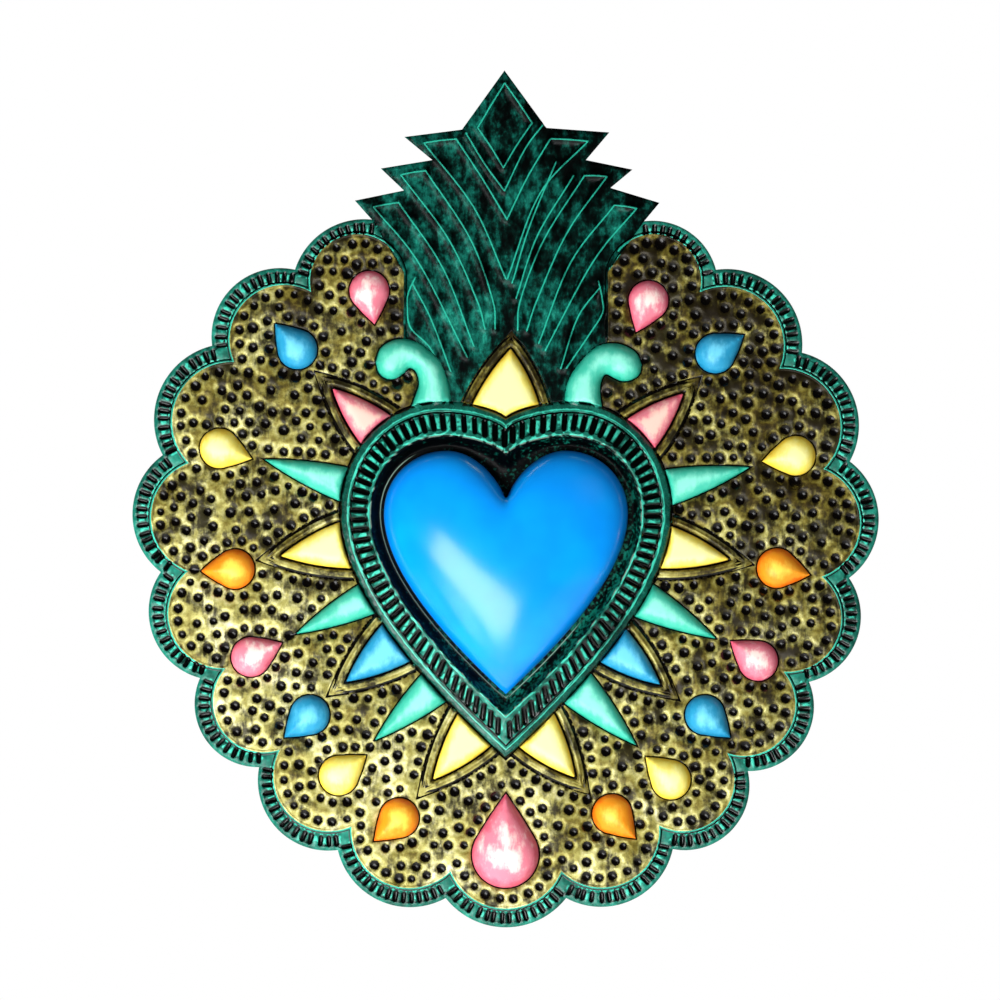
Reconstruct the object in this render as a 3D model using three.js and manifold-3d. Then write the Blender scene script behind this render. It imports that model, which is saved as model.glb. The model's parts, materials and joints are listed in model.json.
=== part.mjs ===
// Milagro heart: a wall ornament of chased, painted tin around a carved and painted wooden heart.
// Lengths are in millimetres. The front faces -Y, +Z is up and the wall is the plane y = 0.
// The origin is the middle of the nail that the ornament hangs on.

import * as THREE from "three";
import { mergeVertices } from "three/addons/utils/BufferGeometryUtils.js";
import Module from "manifold-3d";

const wasm = await Module();
wasm.setup();

// Places on the sheet are [u, v]: u to the right and v up, from the middle of the scalloped plate.
// Degrees are counted from the right, 0, over the top, 90.
// A relief's height h is measured forward from the front of the flat tin.

// The sheet and its scalloped edge
const tinThickness = 0.5;
const plateRadius = 122;
const lobeRise = 10.4;
const endLobeRise = 5.8;

// The notches between the scallops: [degrees, how far beyond the plate's radius]
const scallopCusps = [
  [67.8, 7.9], [54.1, 5.2], [35.0, 6.3], [16.0, 5.0], [-3.0, 0.0], [-21.9, -6.0],
  [-41.1, -8.0], [-60.0, -3.5], [-79.9, -0.1], [-100.1, -0.1], [-120.1, -3.0], [-140.0, -7.6],
  [-158.9, -5.6], [-178.0, 0.6], [-197.0, 5.4], [-216.1, 7.1], [-234.0, 5.4], [-248.5, 7.9],
];

// The flame's free edge, from the left end of the scallops over the top to their right end
const flameTop = 173.8;
const flameEdge = [
  [-53.6, 127.6], [-36.2, 131.2], [-44.4, 139.0], [-26.1, 142.0], [-36.0, 150.2], [-15.6, 152.8],
  [-0.5, flameTop],
  [14.4, 153.4], [36.7, 151.8], [28.4, 142.0], [44.9, 138.6], [37.1, 132.1], [54.5, 126.8],
];

// The chased line between the border and the dotted field
const bandAtCrest = 6.9;
const bandAtCusp = 9.8;
const fieldCorner = [36.2, 102.2];
const fieldCornerRise = 17;
const fieldFoot = [36.3, 82];
const beadWidth = 1.8;
const beadHeight = 0.9;

// The dotted field stands above the border, with a sloping shoulder along the chased line
const fieldHeight = 1.2;
const fieldShoulder = 2;

// The flame's chased ridges: each is a gentle curve through three places
const flameRidgeWidth = 3;
const flameRidgeHeight = 1.4;
const flameRidges = [
  [[-0.4, 169.3], [-5.4, 161.2], [-10.0, 153.4]],
  [[-10.0, 153.4], [-5.2, 146.4], [-0.9, 139.2]],
  [[-0.9, 139.2], [4.0, 147.4], [9.3, 155.1]],
  [[9.3, 155.1], [4.6, 162.2], [-0.4, 169.3]],
  [[-13.8, 150.9], [-7.6, 140.7], [-0.5, 129.6]],
  [[13.1, 154.4], [6.7, 145.7], [-0.5, 129.6]],
  [[-29.1, 148.0], [-23.4, 148.9], [-17.6, 149.4]],
  [[29.1, 148.6], [22.6, 149.2], [16.1, 149.5]],
  [[-17.6, 149.4], [-8.5, 135.6], [0.4, 120.9]],
  [[15.5, 149.0], [7.5, 135.6], [0.4, 120.9]],
  [[-27.7, 147.8], [-11.4, 125.2], [0.0, 99.8]],
  [[28.8, 148.4], [12.0, 129.9], [0.5, 99.8]],
  [[-37.3, 136.7], [-32.9, 137.6], [-28.5, 138.2]],
  [[35.9, 136.1], [31.9, 136.4], [27.9, 136.4]],
  [[-28.4, 138.1], [-12.8, 114.3], [-5.8, 83.0]],
  [[27.0, 136.1], [13.5, 113.7], [6.2, 82.2]],
  [[-36.6, 136.1], [-19.4, 112.5], [-8.5, 82.4]],
  [[35.9, 135.8], [19.7, 112.5], [8.5, 81.6]],
  [[-47.0, 125.3], [-42.6, 126.2], [-38.1, 126.9]],
  [[46.4, 124.8], [42.5, 125.5], [38.5, 125.9]],
  [[-37.3, 128.7], [-22.4, 103.7], [-11.4, 76.0]],
  [[38.5, 126.7], [22.9, 105.4], [11.7, 77.0]],
  [[-47.0, 125.1], [-30.0, 103.5], [-13.9, 72.4]],
  [[46.1, 124.2], [30.6, 104.5], [14.0, 74.5]],
  [[-33.1, 98.0], [-26.6, 85.6], [-19.6, 67.1]],
  [[33.5, 97.0], [25.5, 86.0], [19.5, 68.1]],
  [[-22.5, 66.6], [-34.6, 82.5], [-32.3, 100.0]],
  [[21.5, 68.1], [34.0, 84.0], [33.0, 98.5]],
  [[17.7, 141.0], [8.4, 118.4], [2.3, 98.5]],
];

// The wooden heart's outline: half its width, where it is widest, its lobes' crests, cusp and tip
const woodOutline = { side: 43.3, waist: 16.5, lobe: 21, top: 38.8, cusp: 21, tip: -47.6 };
const woodRise = 17;
const woodEdge = 1.2;
const woodFullness = 2.4;
const woodRingShares = [0.965, 0.89, 0.77, 0.6, 0.38, 0.14];

// The raised frame around it, each line by how far it lies outside the one before
const recessFloor = { side: 2, top: 2, cusp: 8, tip: 3 };
const rimBeyondFloor = { side: 2.9, top: 3.5, cusp: 8.8, tip: 4.8 };
const ledgeBeyondRim = { side: 8, top: 9.2, cusp: 9.8, tip: 11.9 };
const edgeBeyondLedge = { side: 2.9, top: 2.7, cusp: 3, tip: 3.5 };
const rimHeight = 5.2;
const ledgeHeight = 2.2;

// Rays around the frame: tip's angle, reach beyond the frame, foot's angle, half its spread and whether
// a chased line frames it
const ray = (tipAngle, reach, footAngle, spread, framed) => ({ tipAngle, reach, footAngle, spread, framed });
const rays = [
  ray(88.7, 23.6, 90.1, 12.6, true),
  ray(43.2, 20.5, 43.1, 6.5, true),
  ray(20.8, 30.2, 24.6, 6.5, false),
  ray(0.1, 23.5, 4.4, 7.6, true),
  ray(-20.5, 29.6, -15.7, 8.2, false),
  ray(-38.9, 21.8, -38.5, 9.0, true),
  ray(-54.8, 30.1, -61.6, 8.4, false),
  ray(-72.3, 24.3, -79.5, 6.8, true),
  ray(-108.4, 25.8, -100.7, 6.5, true),
  ray(-126.1, 29.0, -118.4, 7.6, false),
  ray(-142.7, 22.7, -143.0, 10.0, true),
  ray(-160.6, 28.8, -165.0, 7.3, false),
  ray(179.0, 23.9, 174.9, 8.3, true),
  ray(157.4, 29.9, 154.6, 6.2, false),
  ray(135.3, 20.8, 134.9, 6.6, true),
];
const rayHeight = 3.2;
const rayBulge = 1.1;
const framedRayUnderlap = 0.8;
const plainRayUnderlap = 4;
const outlineGap = 2.4;
const outlineWidth = 1.7;
const outlineHeight = 0.5;

// Drops in the dotted field: degrees and distance within the plate's radius of the round end's middle,
// and the direction of the point
const drop = (angle, inward, pointsTo, big = false) => ({ angle, inward, pointsTo, big });
const drops = [
  drop(61.2, 16.9, 248.7),
  drop(44.6, 17.6, 33.0),
  drop(19.8, 12.7, 189.6),
  drop(-1.7, 25.8, -11.6),
  drop(-21.8, 25.6, 144.5),
  drop(-37.9, 32.5, -41.6),
  drop(-53.1, 24.5, 138.0),
  drop(-67.3, 24.3, -46.3),
  drop(-90.1, 17.5, 89.5, true),
  drop(-112.5, 22.9, 222.5),
  drop(-127.8, 25.2, 36.2),
  drop(-141.7, 33.3, 221.5),
  drop(-159.2, 25.2, 24.3),
  drop(181.9, 25.7, 183.3),
  drop(158.7, 12.9, -17.9),
  drop(134.7, 16.8, 131.1),
  drop(116.9, 14.8, -80.8),
];
const dropRadius = 7.1;
const dropReach = 12.2;
const dropHeight = 3;
const bigDropRadius = 11.9;
const bigDropReach = 21.8;
const bigDropHeight = 5.5;

// Scrolls beside the flame's foot: a round bead and a stem, placed above the frame's crests
const scrollBead = [40.3, 15];
const scrollBeadRadius = 7;
const scrollHeight = 4.2;
const scrollStem = [
  [43.5, 13], [38.8, 16.6], [34, 16.4], [29.8, 13.6], [27, 9.4], [26, 4.6], [26.6, -0.5], [27.2, -6],
];
const scrollStemHalfWidths = [0, 5.2, 5.3, 5.1, 5.1, 5.4, 6.4, 7.6];

// Wood screws that hold the heart from behind, with their washers
const screwPlaces = [[-21, 15], [21, 15], [0, -22]];
const screwShankRadius = 1.45;
const screwLength = 12;
const screwPoint = 2.5;
const screwHeadRadius = 2.9;
const screwHeadHeight = 1.9;
const screwSlotWidth = 0.8;
const screwSlotDepth = 0.8;
const screwClearance = 0.3;
const washerRadius = 4.5;
const washerThickness = 0.6;

// The hanging ring, the tin strap that it turns in and the solder at the strap's two ends
const hingeHeight = 112;
const wireRadius = 1;
const ringHalfWidth = 10;
const ringDepth = 16;
const ringCorner = 3;
const ringEndsGap = 0.6;
const hingeClearance = 0.3;
const strapThickness = 0.5;
const strapWidth = 8;
const strapTab = 4.5;
const solderReach = 1.3;
const solderHeight = 0.8;
const solderLength = 7.2;
const nailRadius = 1.5;

// Smoothness of round outlines, and how far a ridge may be widened in a sharp bend
const sharpestBend = 0.35;
const lobeSteps = 6;
const heartSteps = 8;
const dropSteps = 10;
const turnSteps = 16;
const ridgeSteps = 3;
const raySteps = 3;
const wireSides = 8;
const wireSteps = 48;

// The wall is touched by the strap's arch, so the sheet's back lies this far in front of it
const hingeFromBack = wireRadius + hingeClearance;
const archRadius = wireRadius + hingeClearance;
const backY = -(hingeFromBack + archRadius + strapThickness);
const frontY = backY - tinThickness;
const hingeY = backY + hingeFromBack;
const hingeZ = -(ringDepth - wireRadius - nailRadius);
const plateZ = hingeZ - hingeHeight;

// Everything raised from the sheet starts inside its thickness
const rootHeight = -tinThickness / 2;

const at = ([u, v]) => new THREE.Vector2(u, v);
const polar = (degrees, distance) => at([
  distance * Math.cos(THREE.MathUtils.degToRad(degrees)),
  distance * Math.sin(THREE.MathUtils.degToRad(degrees)),
]);
const between = (a, b, share) => a.clone().lerp(b, share);
const mirrored = ([u, v]) => [-u, v];

// A closed solid from a closed mesh: only the positions are kept, and shared vertices are merged.
function solidOf(geometry) {
  const bare = new THREE.BufferGeometry();
  bare.setAttribute("position", geometry.getAttribute("position"));
  bare.setIndex(geometry.index);
  const merged = mergeVertices(bare, 1e-5);
  const corners = merged.index.array;
  const kept = [];
  for (let i = 0; i < corners.length; i += 3) {
    const [a, b, c] = [corners[i], corners[i + 1], corners[i + 2]];
    if (a !== b && b !== c && c !== a) {
      kept.push(a, b, c);
    }
  }
  return new wasm.Manifold(new wasm.Mesh({
    numProp: 3,
    vertProperties: merged.getAttribute("position").array,
    triVerts: Uint32Array.from(kept),
  }));
}

// The mesh of a solid, ready to be shown.
function geometryOf(solid) {
  const mesh = solid.getMesh();
  const geometry = new THREE.BufferGeometry();
  geometry.setAttribute("position", new THREE.BufferAttribute(Float32Array.from(mesh.vertProperties), 3));
  geometry.setIndex(new THREE.BufferAttribute(Uint32Array.from(mesh.triVerts), 1));
  geometry.computeVertexNormals();
  return geometry;
}

// Turns [u, v, h] upright, so that h points to the front, -Y, and v points up.
function upright(geometry) {
  const basis = new THREE.Matrix4().set(
    1, 0, 0, 0,
    0, 0, -1, 0,
    0, 1, 0, 0,
    0, 0, 0, 1,
  );
  return geometry.applyMatrix4(basis);
}

// A closed solid through rings of [u, v, h] points that run counter-clockwise, from the foot to the top.
// A band's last ring joins its first one, and otherwise both ends are capped.
function loft(rings, isBand = false) {
  const count = rings[0].length;
  const positions = rings.flat().flat();
  const corners = [];
  const ringPairs = isBand ? rings.length : rings.length - 1;
  for (let i = 0; i < ringPairs; i += 1) {
    const low = i * count;
    const high = ((i + 1) % rings.length) * count;
    for (let j = 0; j < count; j += 1) {
      const next = (j + 1) % count;
      corners.push(low + j, low + next, high + next);
      corners.push(low + j, high + next, high + j);
    }
  }
  if (!isBand) {
    const last = (rings.length - 1) * count;
    for (const [a, b, c] of THREE.ShapeUtils.triangulateShape(rings[0].map(at), [])) {
      corners.push(c, b, a);
    }
    for (const [a, b, c] of THREE.ShapeUtils.triangulateShape(rings.at(-1).map(at), [])) {
      corners.push(last + a, last + b, last + c);
    }
  }
  const geometry = new THREE.BufferGeometry();
  geometry.setAttribute("position", new THREE.Float32BufferAttribute(positions, 3));
  geometry.setIndex(corners);
  return geometry;
}

const ringAt = (outline, h) => outline.map((point) => [point.x, point.y, h]);

// A rounded boss: the outline drawn in towards a centre, ring by ring, with the height of each ring.
const bossLevels = [[0.78, 0.68], [0.3, 1]];
function boss(outline, centre, height) {
  const rings = [ringAt(outline, rootHeight)];
  for (const [share, rise] of bossLevels) {
    rings.push(ringAt(outline.map((point) => between(centre, point, share)), rise * height));
  }
  return solidOf(loft(rings));
}

// For each point of a path, the way to its left, lengthened in bends so that a line beside it stays parallel.
function sideways(path) {
  const legs = path.slice(1).map((point, i) => point.clone().sub(path[i]).normalize());
  return path.map((_, i) => {
    const before = legs[Math.max(i - 1, 0)];
    const after = legs[Math.min(i, legs.length - 1)];
    const along = before.clone().add(after).normalize();
    return new THREE.Vector2(-along.y, along.x).divideScalar(Math.max(along.dot(before), sharpestBend));
  });
}

// A ridge along a path, with half its width at each point, tapering to the sheet at both ends.
const roofSection = [[1, 0], [0, 1], [-1, 0]];
const roundSection = [[1, 0], [0.74, 0.66], [0.3, 0.96], [-0.3, 0.96], [-0.74, 0.66], [-1, 0]];
function ridge(path, halfWidths, height, section = roofSection) {
  const sides = sideways(path);
  const stations = path.map((point, i) => section.map(([across, rise]) => {
    const ended = i === 0 || i === path.length - 1;
    const offset = ended ? point : point.clone().addScaledVector(sides[i], across * halfWidths[i]);
    return [offset.x, offset.y, ended ? rootHeight : rootHeight + rise * (height - rootHeight)];
  }));
  const count = section.length;
  const corners = [];
  for (let i = 0; i + 1 < stations.length; i += 1) {
    for (let j = 0; j < count; j += 1) {
      const next = (j + 1) % count;
      const [a, b] = [i * count + j, i * count + next];
      corners.push(a, b + count, a + count, a, b, b + count);
    }
  }
  const geometry = new THREE.BufferGeometry();
  geometry.setAttribute("position", new THREE.Float32BufferAttribute(stations.flat().flat(), 3));
  geometry.setIndex(corners);
  return solidOf(geometry);
}

// The same ridge with one width all along, starting and ending in a short taper.
function line(path, width, height) {
  const start = between(path[0], path[1], Math.min(0.5, width / path[0].distanceTo(path[1])));
  const end = between(path.at(-1), path.at(-2), Math.min(0.5, width / path.at(-1).distanceTo(path.at(-2))));
  const full = [path[0], start, ...path.slice(1, -1), end, path.at(-1)];
  return ridge(full, full.map(() => width / 2), height);
}

// Points on an arc from a to b, without b itself. It bulges to the left of the way from a to b by its rise.
function arc(a, b, rise, steps) {
  const half = a.distanceTo(b) / 2;
  const height = Math.abs(rise);
  const radius = (half * half + height * height) / (2 * height);
  const along = b.clone().sub(a).normalize();
  const out = new THREE.Vector2(-along.y, along.x).multiplyScalar(Math.sign(rise));
  const centre = between(a, b, 0.5).addScaledVector(out, height - radius);
  const reach = Math.atan2(half, radius - height);
  return Array.from({ length: steps }, (_, i) => {
    const angle = -reach + (2 * reach * i) / steps;
    return centre.clone()
      .addScaledVector(along, radius * Math.sin(angle))
      .addScaledVector(out, radius * Math.cos(angle));
  });
}

// A smooth curve through three places.
function curveThrough(start, middle, end, steps) {
  const bend = middle.clone().multiplyScalar(2).sub(between(start, end, 0.5));
  return new THREE.QuadraticBezierCurve(start, bend, end).getPoints(steps);
}

// A heart's outline, counter-clockwise from its tip.
function heartOutline({ side, waist, lobe, top, cusp, tip }) {
  const shape = new THREE.Shape();
  const drop = waist - tip;
  shape.moveTo(0, tip);
  shape.bezierCurveTo(0.6 * side, tip + 0.37 * drop, side, waist - 0.28 * drop, side, waist);
  const lobeOut = lobe + 0.57 * (side - lobe);
  shape.bezierCurveTo(side, waist + 0.56 * (top - waist), lobeOut, top, lobe, top);
  shape.bezierCurveTo(0.52 * lobe, top, 0.09 * lobe, cusp + 0.42 * (top - cusp), 0, cusp);
  shape.bezierCurveTo(-0.09 * lobe, cusp + 0.42 * (top - cusp), -0.52 * lobe, top, -lobe, top);
  shape.bezierCurveTo(-lobeOut, top, -side, waist + 0.56 * (top - waist), -side, waist);
  shape.bezierCurveTo(-side, waist - 0.28 * drop, -0.6 * side, tip + 0.37 * drop, 0, tip);
  return shape.getPoints(heartSteps).slice(0, -1);
}

// The heart that lies outside another one by these amounts.
const grown = (outline, by) => ({
  side: outline.side + by.side,
  waist: outline.waist,
  lobe: outline.lobe + by.side / 8,
  top: outline.top + by.top,
  cusp: outline.cusp + by.cusp,
  tip: outline.tip - by.tip,
});

const floorOutline = grown(woodOutline, recessFloor);
const rimOutline = grown(floorOutline, rimBeyondFloor);
const ledgeOutline = grown(rimOutline, ledgeBeyondRim);
const frameOutline = grown(ledgeOutline, edgeBeyondLedge);

// The distance from the plate's middle to a closed outline, in one direction.
function reachOf(outline, degrees) {
  const way = polar(degrees, 1);
  let reach = 0;
  outline.forEach((a, i) => {
    const b = outline[(i + 1) % outline.length];
    const [crossA, crossB] = [way.cross(a), way.cross(b)];
    if (crossA * crossB <= 0 && crossA !== crossB) {
      const along = between(a, b, crossA / (crossA - crossB)).dot(way);
      reach = Math.max(reach, along);
    }
  });
  return reach;
}

// The sheet's outline: the lobes clockwise from the flame's right side, then the flame from left to right.
function sheetOutline() {
  const cusps = scallopCusps.map(([degrees, beyond]) => polar(degrees, plateRadius + beyond));
  const points = [];
  for (let i = 0; i + 1 < cusps.length; i += 1) {
    const isEnd = i === 0 || i + 2 === cusps.length;
    points.push(...arc(cusps[i], cusps[i + 1], isEnd ? endLobeRise : lobeRise, lobeSteps));
  }
  return [...points, cusps.at(-1), ...flameEdge.map(at)];
}

// The line between border and field: from one side of the flame's foot around to the other.
function fieldLine() {
  const cuspRadius = plateRadius - bandAtCusp;
  const cusps = scallopCusps.slice(1, -1).map(([degrees, beyond]) => polar(degrees, cuspRadius + beyond));
  const rise = lobeRise + bandAtCusp - bandAtCrest;
  const right = at(fieldCorner);
  const left = at(mirrored(fieldCorner));
  const points = [at(fieldFoot), ...arc(right, cusps[0], fieldCornerRise, lobeSteps)];
  for (let i = 0; i + 1 < cusps.length; i += 1) {
    points.push(...arc(cusps[i], cusps[i + 1], rise, lobeSteps));
  }
  points.push(...arc(cusps.at(-1), left, fieldCornerRise, lobeSteps), left, at(mirrored(fieldFoot)));
  return points;
}

// The dotted field: its chased line, closed under the scrolls' stems and the raised frame.
function fieldPlateau() {
  const rightStem = scrollStem.slice(2).map(([u, above]) => [u, frameOutline.top + above]);
  const leftStem = rightStem.map(mirrored);
  const outline = [...fieldLine(), ...leftStem.map(at), ...rightStem.reverse().map(at)].reverse();
  const inward = sideways([outline.at(-1), ...outline, outline[0]]).slice(1, -1);
  const shoulder = outline.map((point, i) => point.clone().addScaledVector(inward[i], fieldShoulder));
  const heart = heartOutline(ledgeOutline);
  const opening = solidOf(loft([ringAt(heart, 2 * rootHeight), ringAt(heart, 2 * fieldHeight)]));
  return solidOf(loft([ringAt(outline, rootHeight), ringAt(shoulder, fieldHeight)])).subtract(opening);
}

// The raised frame: a band from its outer edge over the ledge and the rim down to the recess.
function frameBand() {
  return solidOf(loft([
    ringAt(heartOutline(frameOutline), rootHeight),
    ringAt(heartOutline(ledgeOutline), ledgeHeight),
    ringAt(heartOutline(rimOutline), rimHeight),
    ringAt(heartOutline(floorOutline), rootHeight),
  ], true));
}

// A ray's sides, counter-clockwise from one foot over the tip to the other. The feet are under the frame.
function raySides({ tipAngle, reach, footAngle, spread, framed }, frame) {
  const foot = (degrees) => rayFoot(degrees, framed, frame);
  const tip = polar(tipAngle, reachOf(frame, tipAngle) + reach);
  const sideTo = (from, to) => arc(from, to, -rayBulge, raySteps);
  return [...sideTo(foot(footAngle - spread), tip), ...sideTo(tip, foot(footAngle + spread)),
    foot(footAngle + spread)];
}

function rayFoot(degrees, framed, frame) {
  return polar(degrees, reachOf(frame, degrees) - (framed ? framedRayUnderlap : plainRayUnderlap));
}

// The middle of a boss, as the mean of its outline's points.
function middleOf(outline) {
  return outline.reduce((sum, point) => sum.add(point), new THREE.Vector2()).divideScalar(outline.length);
}

// A drop's outline, counter-clockwise from its point.
function dropOutline({ angle, inward, pointsTo, big }) {
  const centre = polar(angle, plateRadius - inward);
  const radius = big ? bigDropRadius : dropRadius;
  const reach = big ? bigDropReach : dropReach;
  const way = THREE.MathUtils.degToRad(pointsTo);
  const open = Math.acos(radius / reach);
  const outline = [centre.clone().add(polar(pointsTo, reach))];
  for (let i = 0; i <= dropSteps; i += 1) {
    const turn = way + open + ((2 * Math.PI - 2 * open) * i) / dropSteps;
    outline.push(centre.clone().add(new THREE.Vector2(radius * Math.cos(turn), radius * Math.sin(turn))));
  }
  return { centre, outline };
}

// Both halves of a scroll: its bead and its stem.
function scroll(side) {
  const place = ([u, above]) => at([side * u, frameOutline.top + above]);
  const bead = Array.from({ length: dropSteps }, (_, i) => (
    place(scrollBead).add(polar((360 * i) / dropSteps, scrollBeadRadius))
  ));
  const stem = scrollStem.map(place);
  return [
    boss(bead, place(scrollBead), scrollHeight),
    ridge(stem, scrollStemHalfWidths, scrollHeight, roundSection),
  ];
}

// All that is raised from the sheet, as one solid that stands on its front.
function relief() {
  const frame = heartOutline(frameOutline);
  const raised = [frameBand(), fieldPlateau(), line(fieldLine(), beadWidth, beadHeight)];
  for (const each of rays) {
    const sides = raySides(each, frame);
    const outline = [...sides, rayFoot(each.footAngle, each.framed, frame)];
    raised.push(boss(outline, middleOf(outline), rayHeight));
    if (each.framed) {
      const away = sideways(sides);
      const around = sides.map((point, i) => point.clone().addScaledVector(away[i], -outlineGap));
      raised.push(line(around, outlineWidth, fieldHeight + outlineHeight));
    }
  }
  for (const each of drops) {
    const { centre, outline } = dropOutline(each);
    raised.push(boss(outline, centre, fieldHeight + (each.big ? bigDropHeight : dropHeight)));
  }
  for (const [start, middle, end] of flameRidges) {
    const crest = curveThrough(at(start), at(middle), at(end), ridgeSteps);
    raised.push(line(crest, flameRidgeWidth, flameRidgeHeight));
  }
  raised.push(...scroll(-1), ...scroll(1));
  return wasm.Manifold.union(raised);
}

// The tin sheet: a thin plate pushed forward wherever something is raised, so its back is hollow there.
function tinSheet() {
  const flat = solidOf(new THREE.ExtrudeGeometry(new THREE.Shape(sheetOutline()), {
    depth: tinThickness,
    bevelEnabled: false,
  }).translate(0, 0, -tinThickness));
  const raised = relief();
  const holes = screwPlaces.map(([u, v]) => {
    const cutter = new THREE.CylinderGeometry(
      screwShankRadius + screwClearance, screwShankRadius + screwClearance, 4 * tinThickness, turnSteps,
    );
    return solidOf(cutter.rotateX(Math.PI / 2).translate(u, v, -tinThickness));
  });
  const sheet = flat.add(raised)
    .subtract(raised.translate([0, 0, -tinThickness]))
    .subtract(wasm.Manifold.union(holes));
  return upright(geometryOf(sheet)).translate(0, frontY, plateZ);
}

// The wooden heart: rings of ever smaller hearts whose cusp fades out towards the top of the dome.
function woodHeart() {
  const rings = [ringAt(heartOutline(woodOutline), 0), ringAt(heartOutline(woodOutline), woodEdge)];
  for (const share of woodRingShares) {
    const fade = 1 - share;
    const smaller = {
      side: woodOutline.side * share,
      waist: woodOutline.waist * share,
      lobe: woodOutline.lobe * share,
      top: woodOutline.top * share,
      cusp: (woodOutline.cusp + (woodOutline.top - woodOutline.cusp) * fade) * share,
      tip: woodOutline.tip * share,
    };
    const rise = (woodRise - woodEdge) * Math.sqrt(1 - share ** woodFullness);
    rings.push(ringAt(heartOutline(smaller), woodEdge + rise));
  }
  const pilots = screwPlaces.map(([u, v]) => {
    const depth = screwLength + screwClearance;
    const radius = screwShankRadius + screwClearance;
    const cutter = new THREE.CylinderGeometry(radius, radius, 2 * depth, turnSteps);
    return solidOf(cutter.rotateX(Math.PI / 2).translate(u, v, 0));
  });
  const heart = solidOf(loft(rings)).subtract(wasm.Manifold.union(pilots));
  return upright(geometryOf(heart)).translate(0, frontY, plateZ);
}

// A round-head wood screw that points to the front, with its head's flat side at y = 0.
function screw() {
  const profile = [[0, -screwLength], [screwShankRadius, -screwLength + screwPoint], [screwShankRadius, 0],
    [screwHeadRadius, 0]];
  for (const degrees of [20, 40, 60, 78]) {
    const turn = THREE.MathUtils.degToRad(degrees);
    profile.push([screwHeadRadius * Math.cos(turn), screwHeadHeight * Math.sin(turn)]);
  }
  profile.push([0, screwHeadHeight]);
  const body = solidOf(new THREE.LatheGeometry(profile.map(at), turnSteps));
  const slot = new THREE.BoxGeometry(3 * screwHeadRadius, 2 * screwSlotDepth, screwSlotWidth);
  return geometryOf(body.subtract(solidOf(slot.translate(0, screwHeadHeight, 0))));
}

// A flat washer that lies on y = 0.
function washer() {
  const hole = screwShankRadius + screwClearance;
  const profile = [[hole, 0], [washerRadius, 0], [washerRadius, washerThickness], [hole, washerThickness],
    [hole, 0]];
  return new THREE.LatheGeometry(profile.map(at), turnSteps);
}

// Sets a profile drawn in [z, y] along X, centred on x = 0.
function alongX(profile, length) {
  const extruded = new THREE.ExtrudeGeometry(new THREE.Shape(profile.map(at)), {
    depth: length,
    bevelEnabled: false,
  }).translate(0, 0, -length / 2);
  const basis = new THREE.Matrix4().set(
    0, 0, 1, 0,
    0, 1, 0, 0,
    -1, 0, 0, 0,
    0, 0, 0, 1,
  );
  return extruded.applyMatrix4(basis);
}

// The hanger's strap: two flat tabs on the sheet's back and an arch over the ring's straight side.
function hangerStrap() {
  const outer = archRadius + strapThickness;
  const tabEnd = outer + strapTab;
  const profile = [[-tabEnd, backY], [-archRadius, backY], [-archRadius, hingeY]];
  for (let i = 1; i < dropSteps; i += 1) {
    const turn = Math.PI - (Math.PI * i) / dropSteps;
    profile.push([archRadius * Math.cos(turn), hingeY + archRadius * Math.sin(turn)]);
  }
  profile.push([archRadius, hingeY], [archRadius, backY], [tabEnd, backY], [tabEnd, backY + strapThickness],
    [outer, backY + strapThickness], [outer, hingeY]);
  for (let i = 1; i < dropSteps; i += 1) {
    const turn = (Math.PI * i) / dropSteps;
    profile.push([outer * Math.cos(turn), hingeY + outer * Math.sin(turn)]);
  }
  profile.push([-outer, hingeY], [-outer, backY + strapThickness], [-tabEnd, backY + strapThickness]);
  return alongX(profile, strapWidth).translate(0, 0, hingeZ);
}

// A bead of solder in the corner between the sheet and the end of one of the strap's tabs.
function solderBead(side) {
  const from = archRadius + strapThickness + strapTab;
  const profile = [[0, 0], [solderReach, 0], [0.55 * solderReach, 0.3 * solderHeight],
    [0.25 * solderReach, 0.65 * solderHeight], [0, solderHeight]];
  const placed = profile.map(([along, up]) => [-side * (from + along), backY + up]);
  return alongX(side > 0 ? placed : placed.reverse(), solderLength).translate(0, 0, hingeZ);
}

// The ring's path as it hangs down: from the middle of its straight side around and back to it.
class RingPath extends THREE.CurvePath {
  constructor() {
    super();
    const [side, low] = [ringHalfWidth, ringHalfWidth - ringDepth];
    const point = (x, z) => new THREE.Vector3(x, hingeY, hingeZ + z);
    const bar = ringEndsGap / 2;
    const bend = 0.5523;
    const cornerIn = side - ringCorner;
    this.add(new THREE.LineCurve3(point(bar, 0), point(cornerIn, 0)));
    this.add(new THREE.CubicBezierCurve3(point(cornerIn, 0), point(cornerIn + bend * ringCorner, 0),
      point(side, -ringCorner + bend * ringCorner), point(side, -ringCorner)));
    this.add(new THREE.LineCurve3(point(side, -ringCorner), point(side, low)));
    this.add(new THREE.CubicBezierCurve3(point(side, low), point(side, low - bend * side),
      point(bend * side, low - side), point(0, low - side)));
    this.add(new THREE.CubicBezierCurve3(point(0, low - side), point(-bend * side, low - side),
      point(-side, low - bend * side), point(-side, low)));
    this.add(new THREE.LineCurve3(point(-side, low), point(-side, -ringCorner)));
    this.add(new THREE.CubicBezierCurve3(point(-side, -ringCorner),
      point(-side, -ringCorner + bend * ringCorner), point(-cornerIn - bend * ringCorner, 0),
      point(-cornerIn, 0)));
    this.add(new THREE.LineCurve3(point(-cornerIn, 0), point(-bar, 0)));
  }
}

// The ring of wire, whose two cut ends face each other inside the strap's arch.
function hangerRing() {
  const section = Array.from({ length: wireSides }, (_, i) => polar((360 * i) / wireSides, wireRadius));
  return new THREE.ExtrudeGeometry(new THREE.Shape(section), {
    steps: wireSteps,
    bevelEnabled: false,
    extrudePath: new RingPath(),
  });
}

const ornament = new THREE.Group();

function addPiece(name, geometry, material, parent = ornament) {
  const mesh = new THREE.Mesh(geometry, material);
  mesh.name = name;
  parent.add(mesh);
  return mesh;
}

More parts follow.
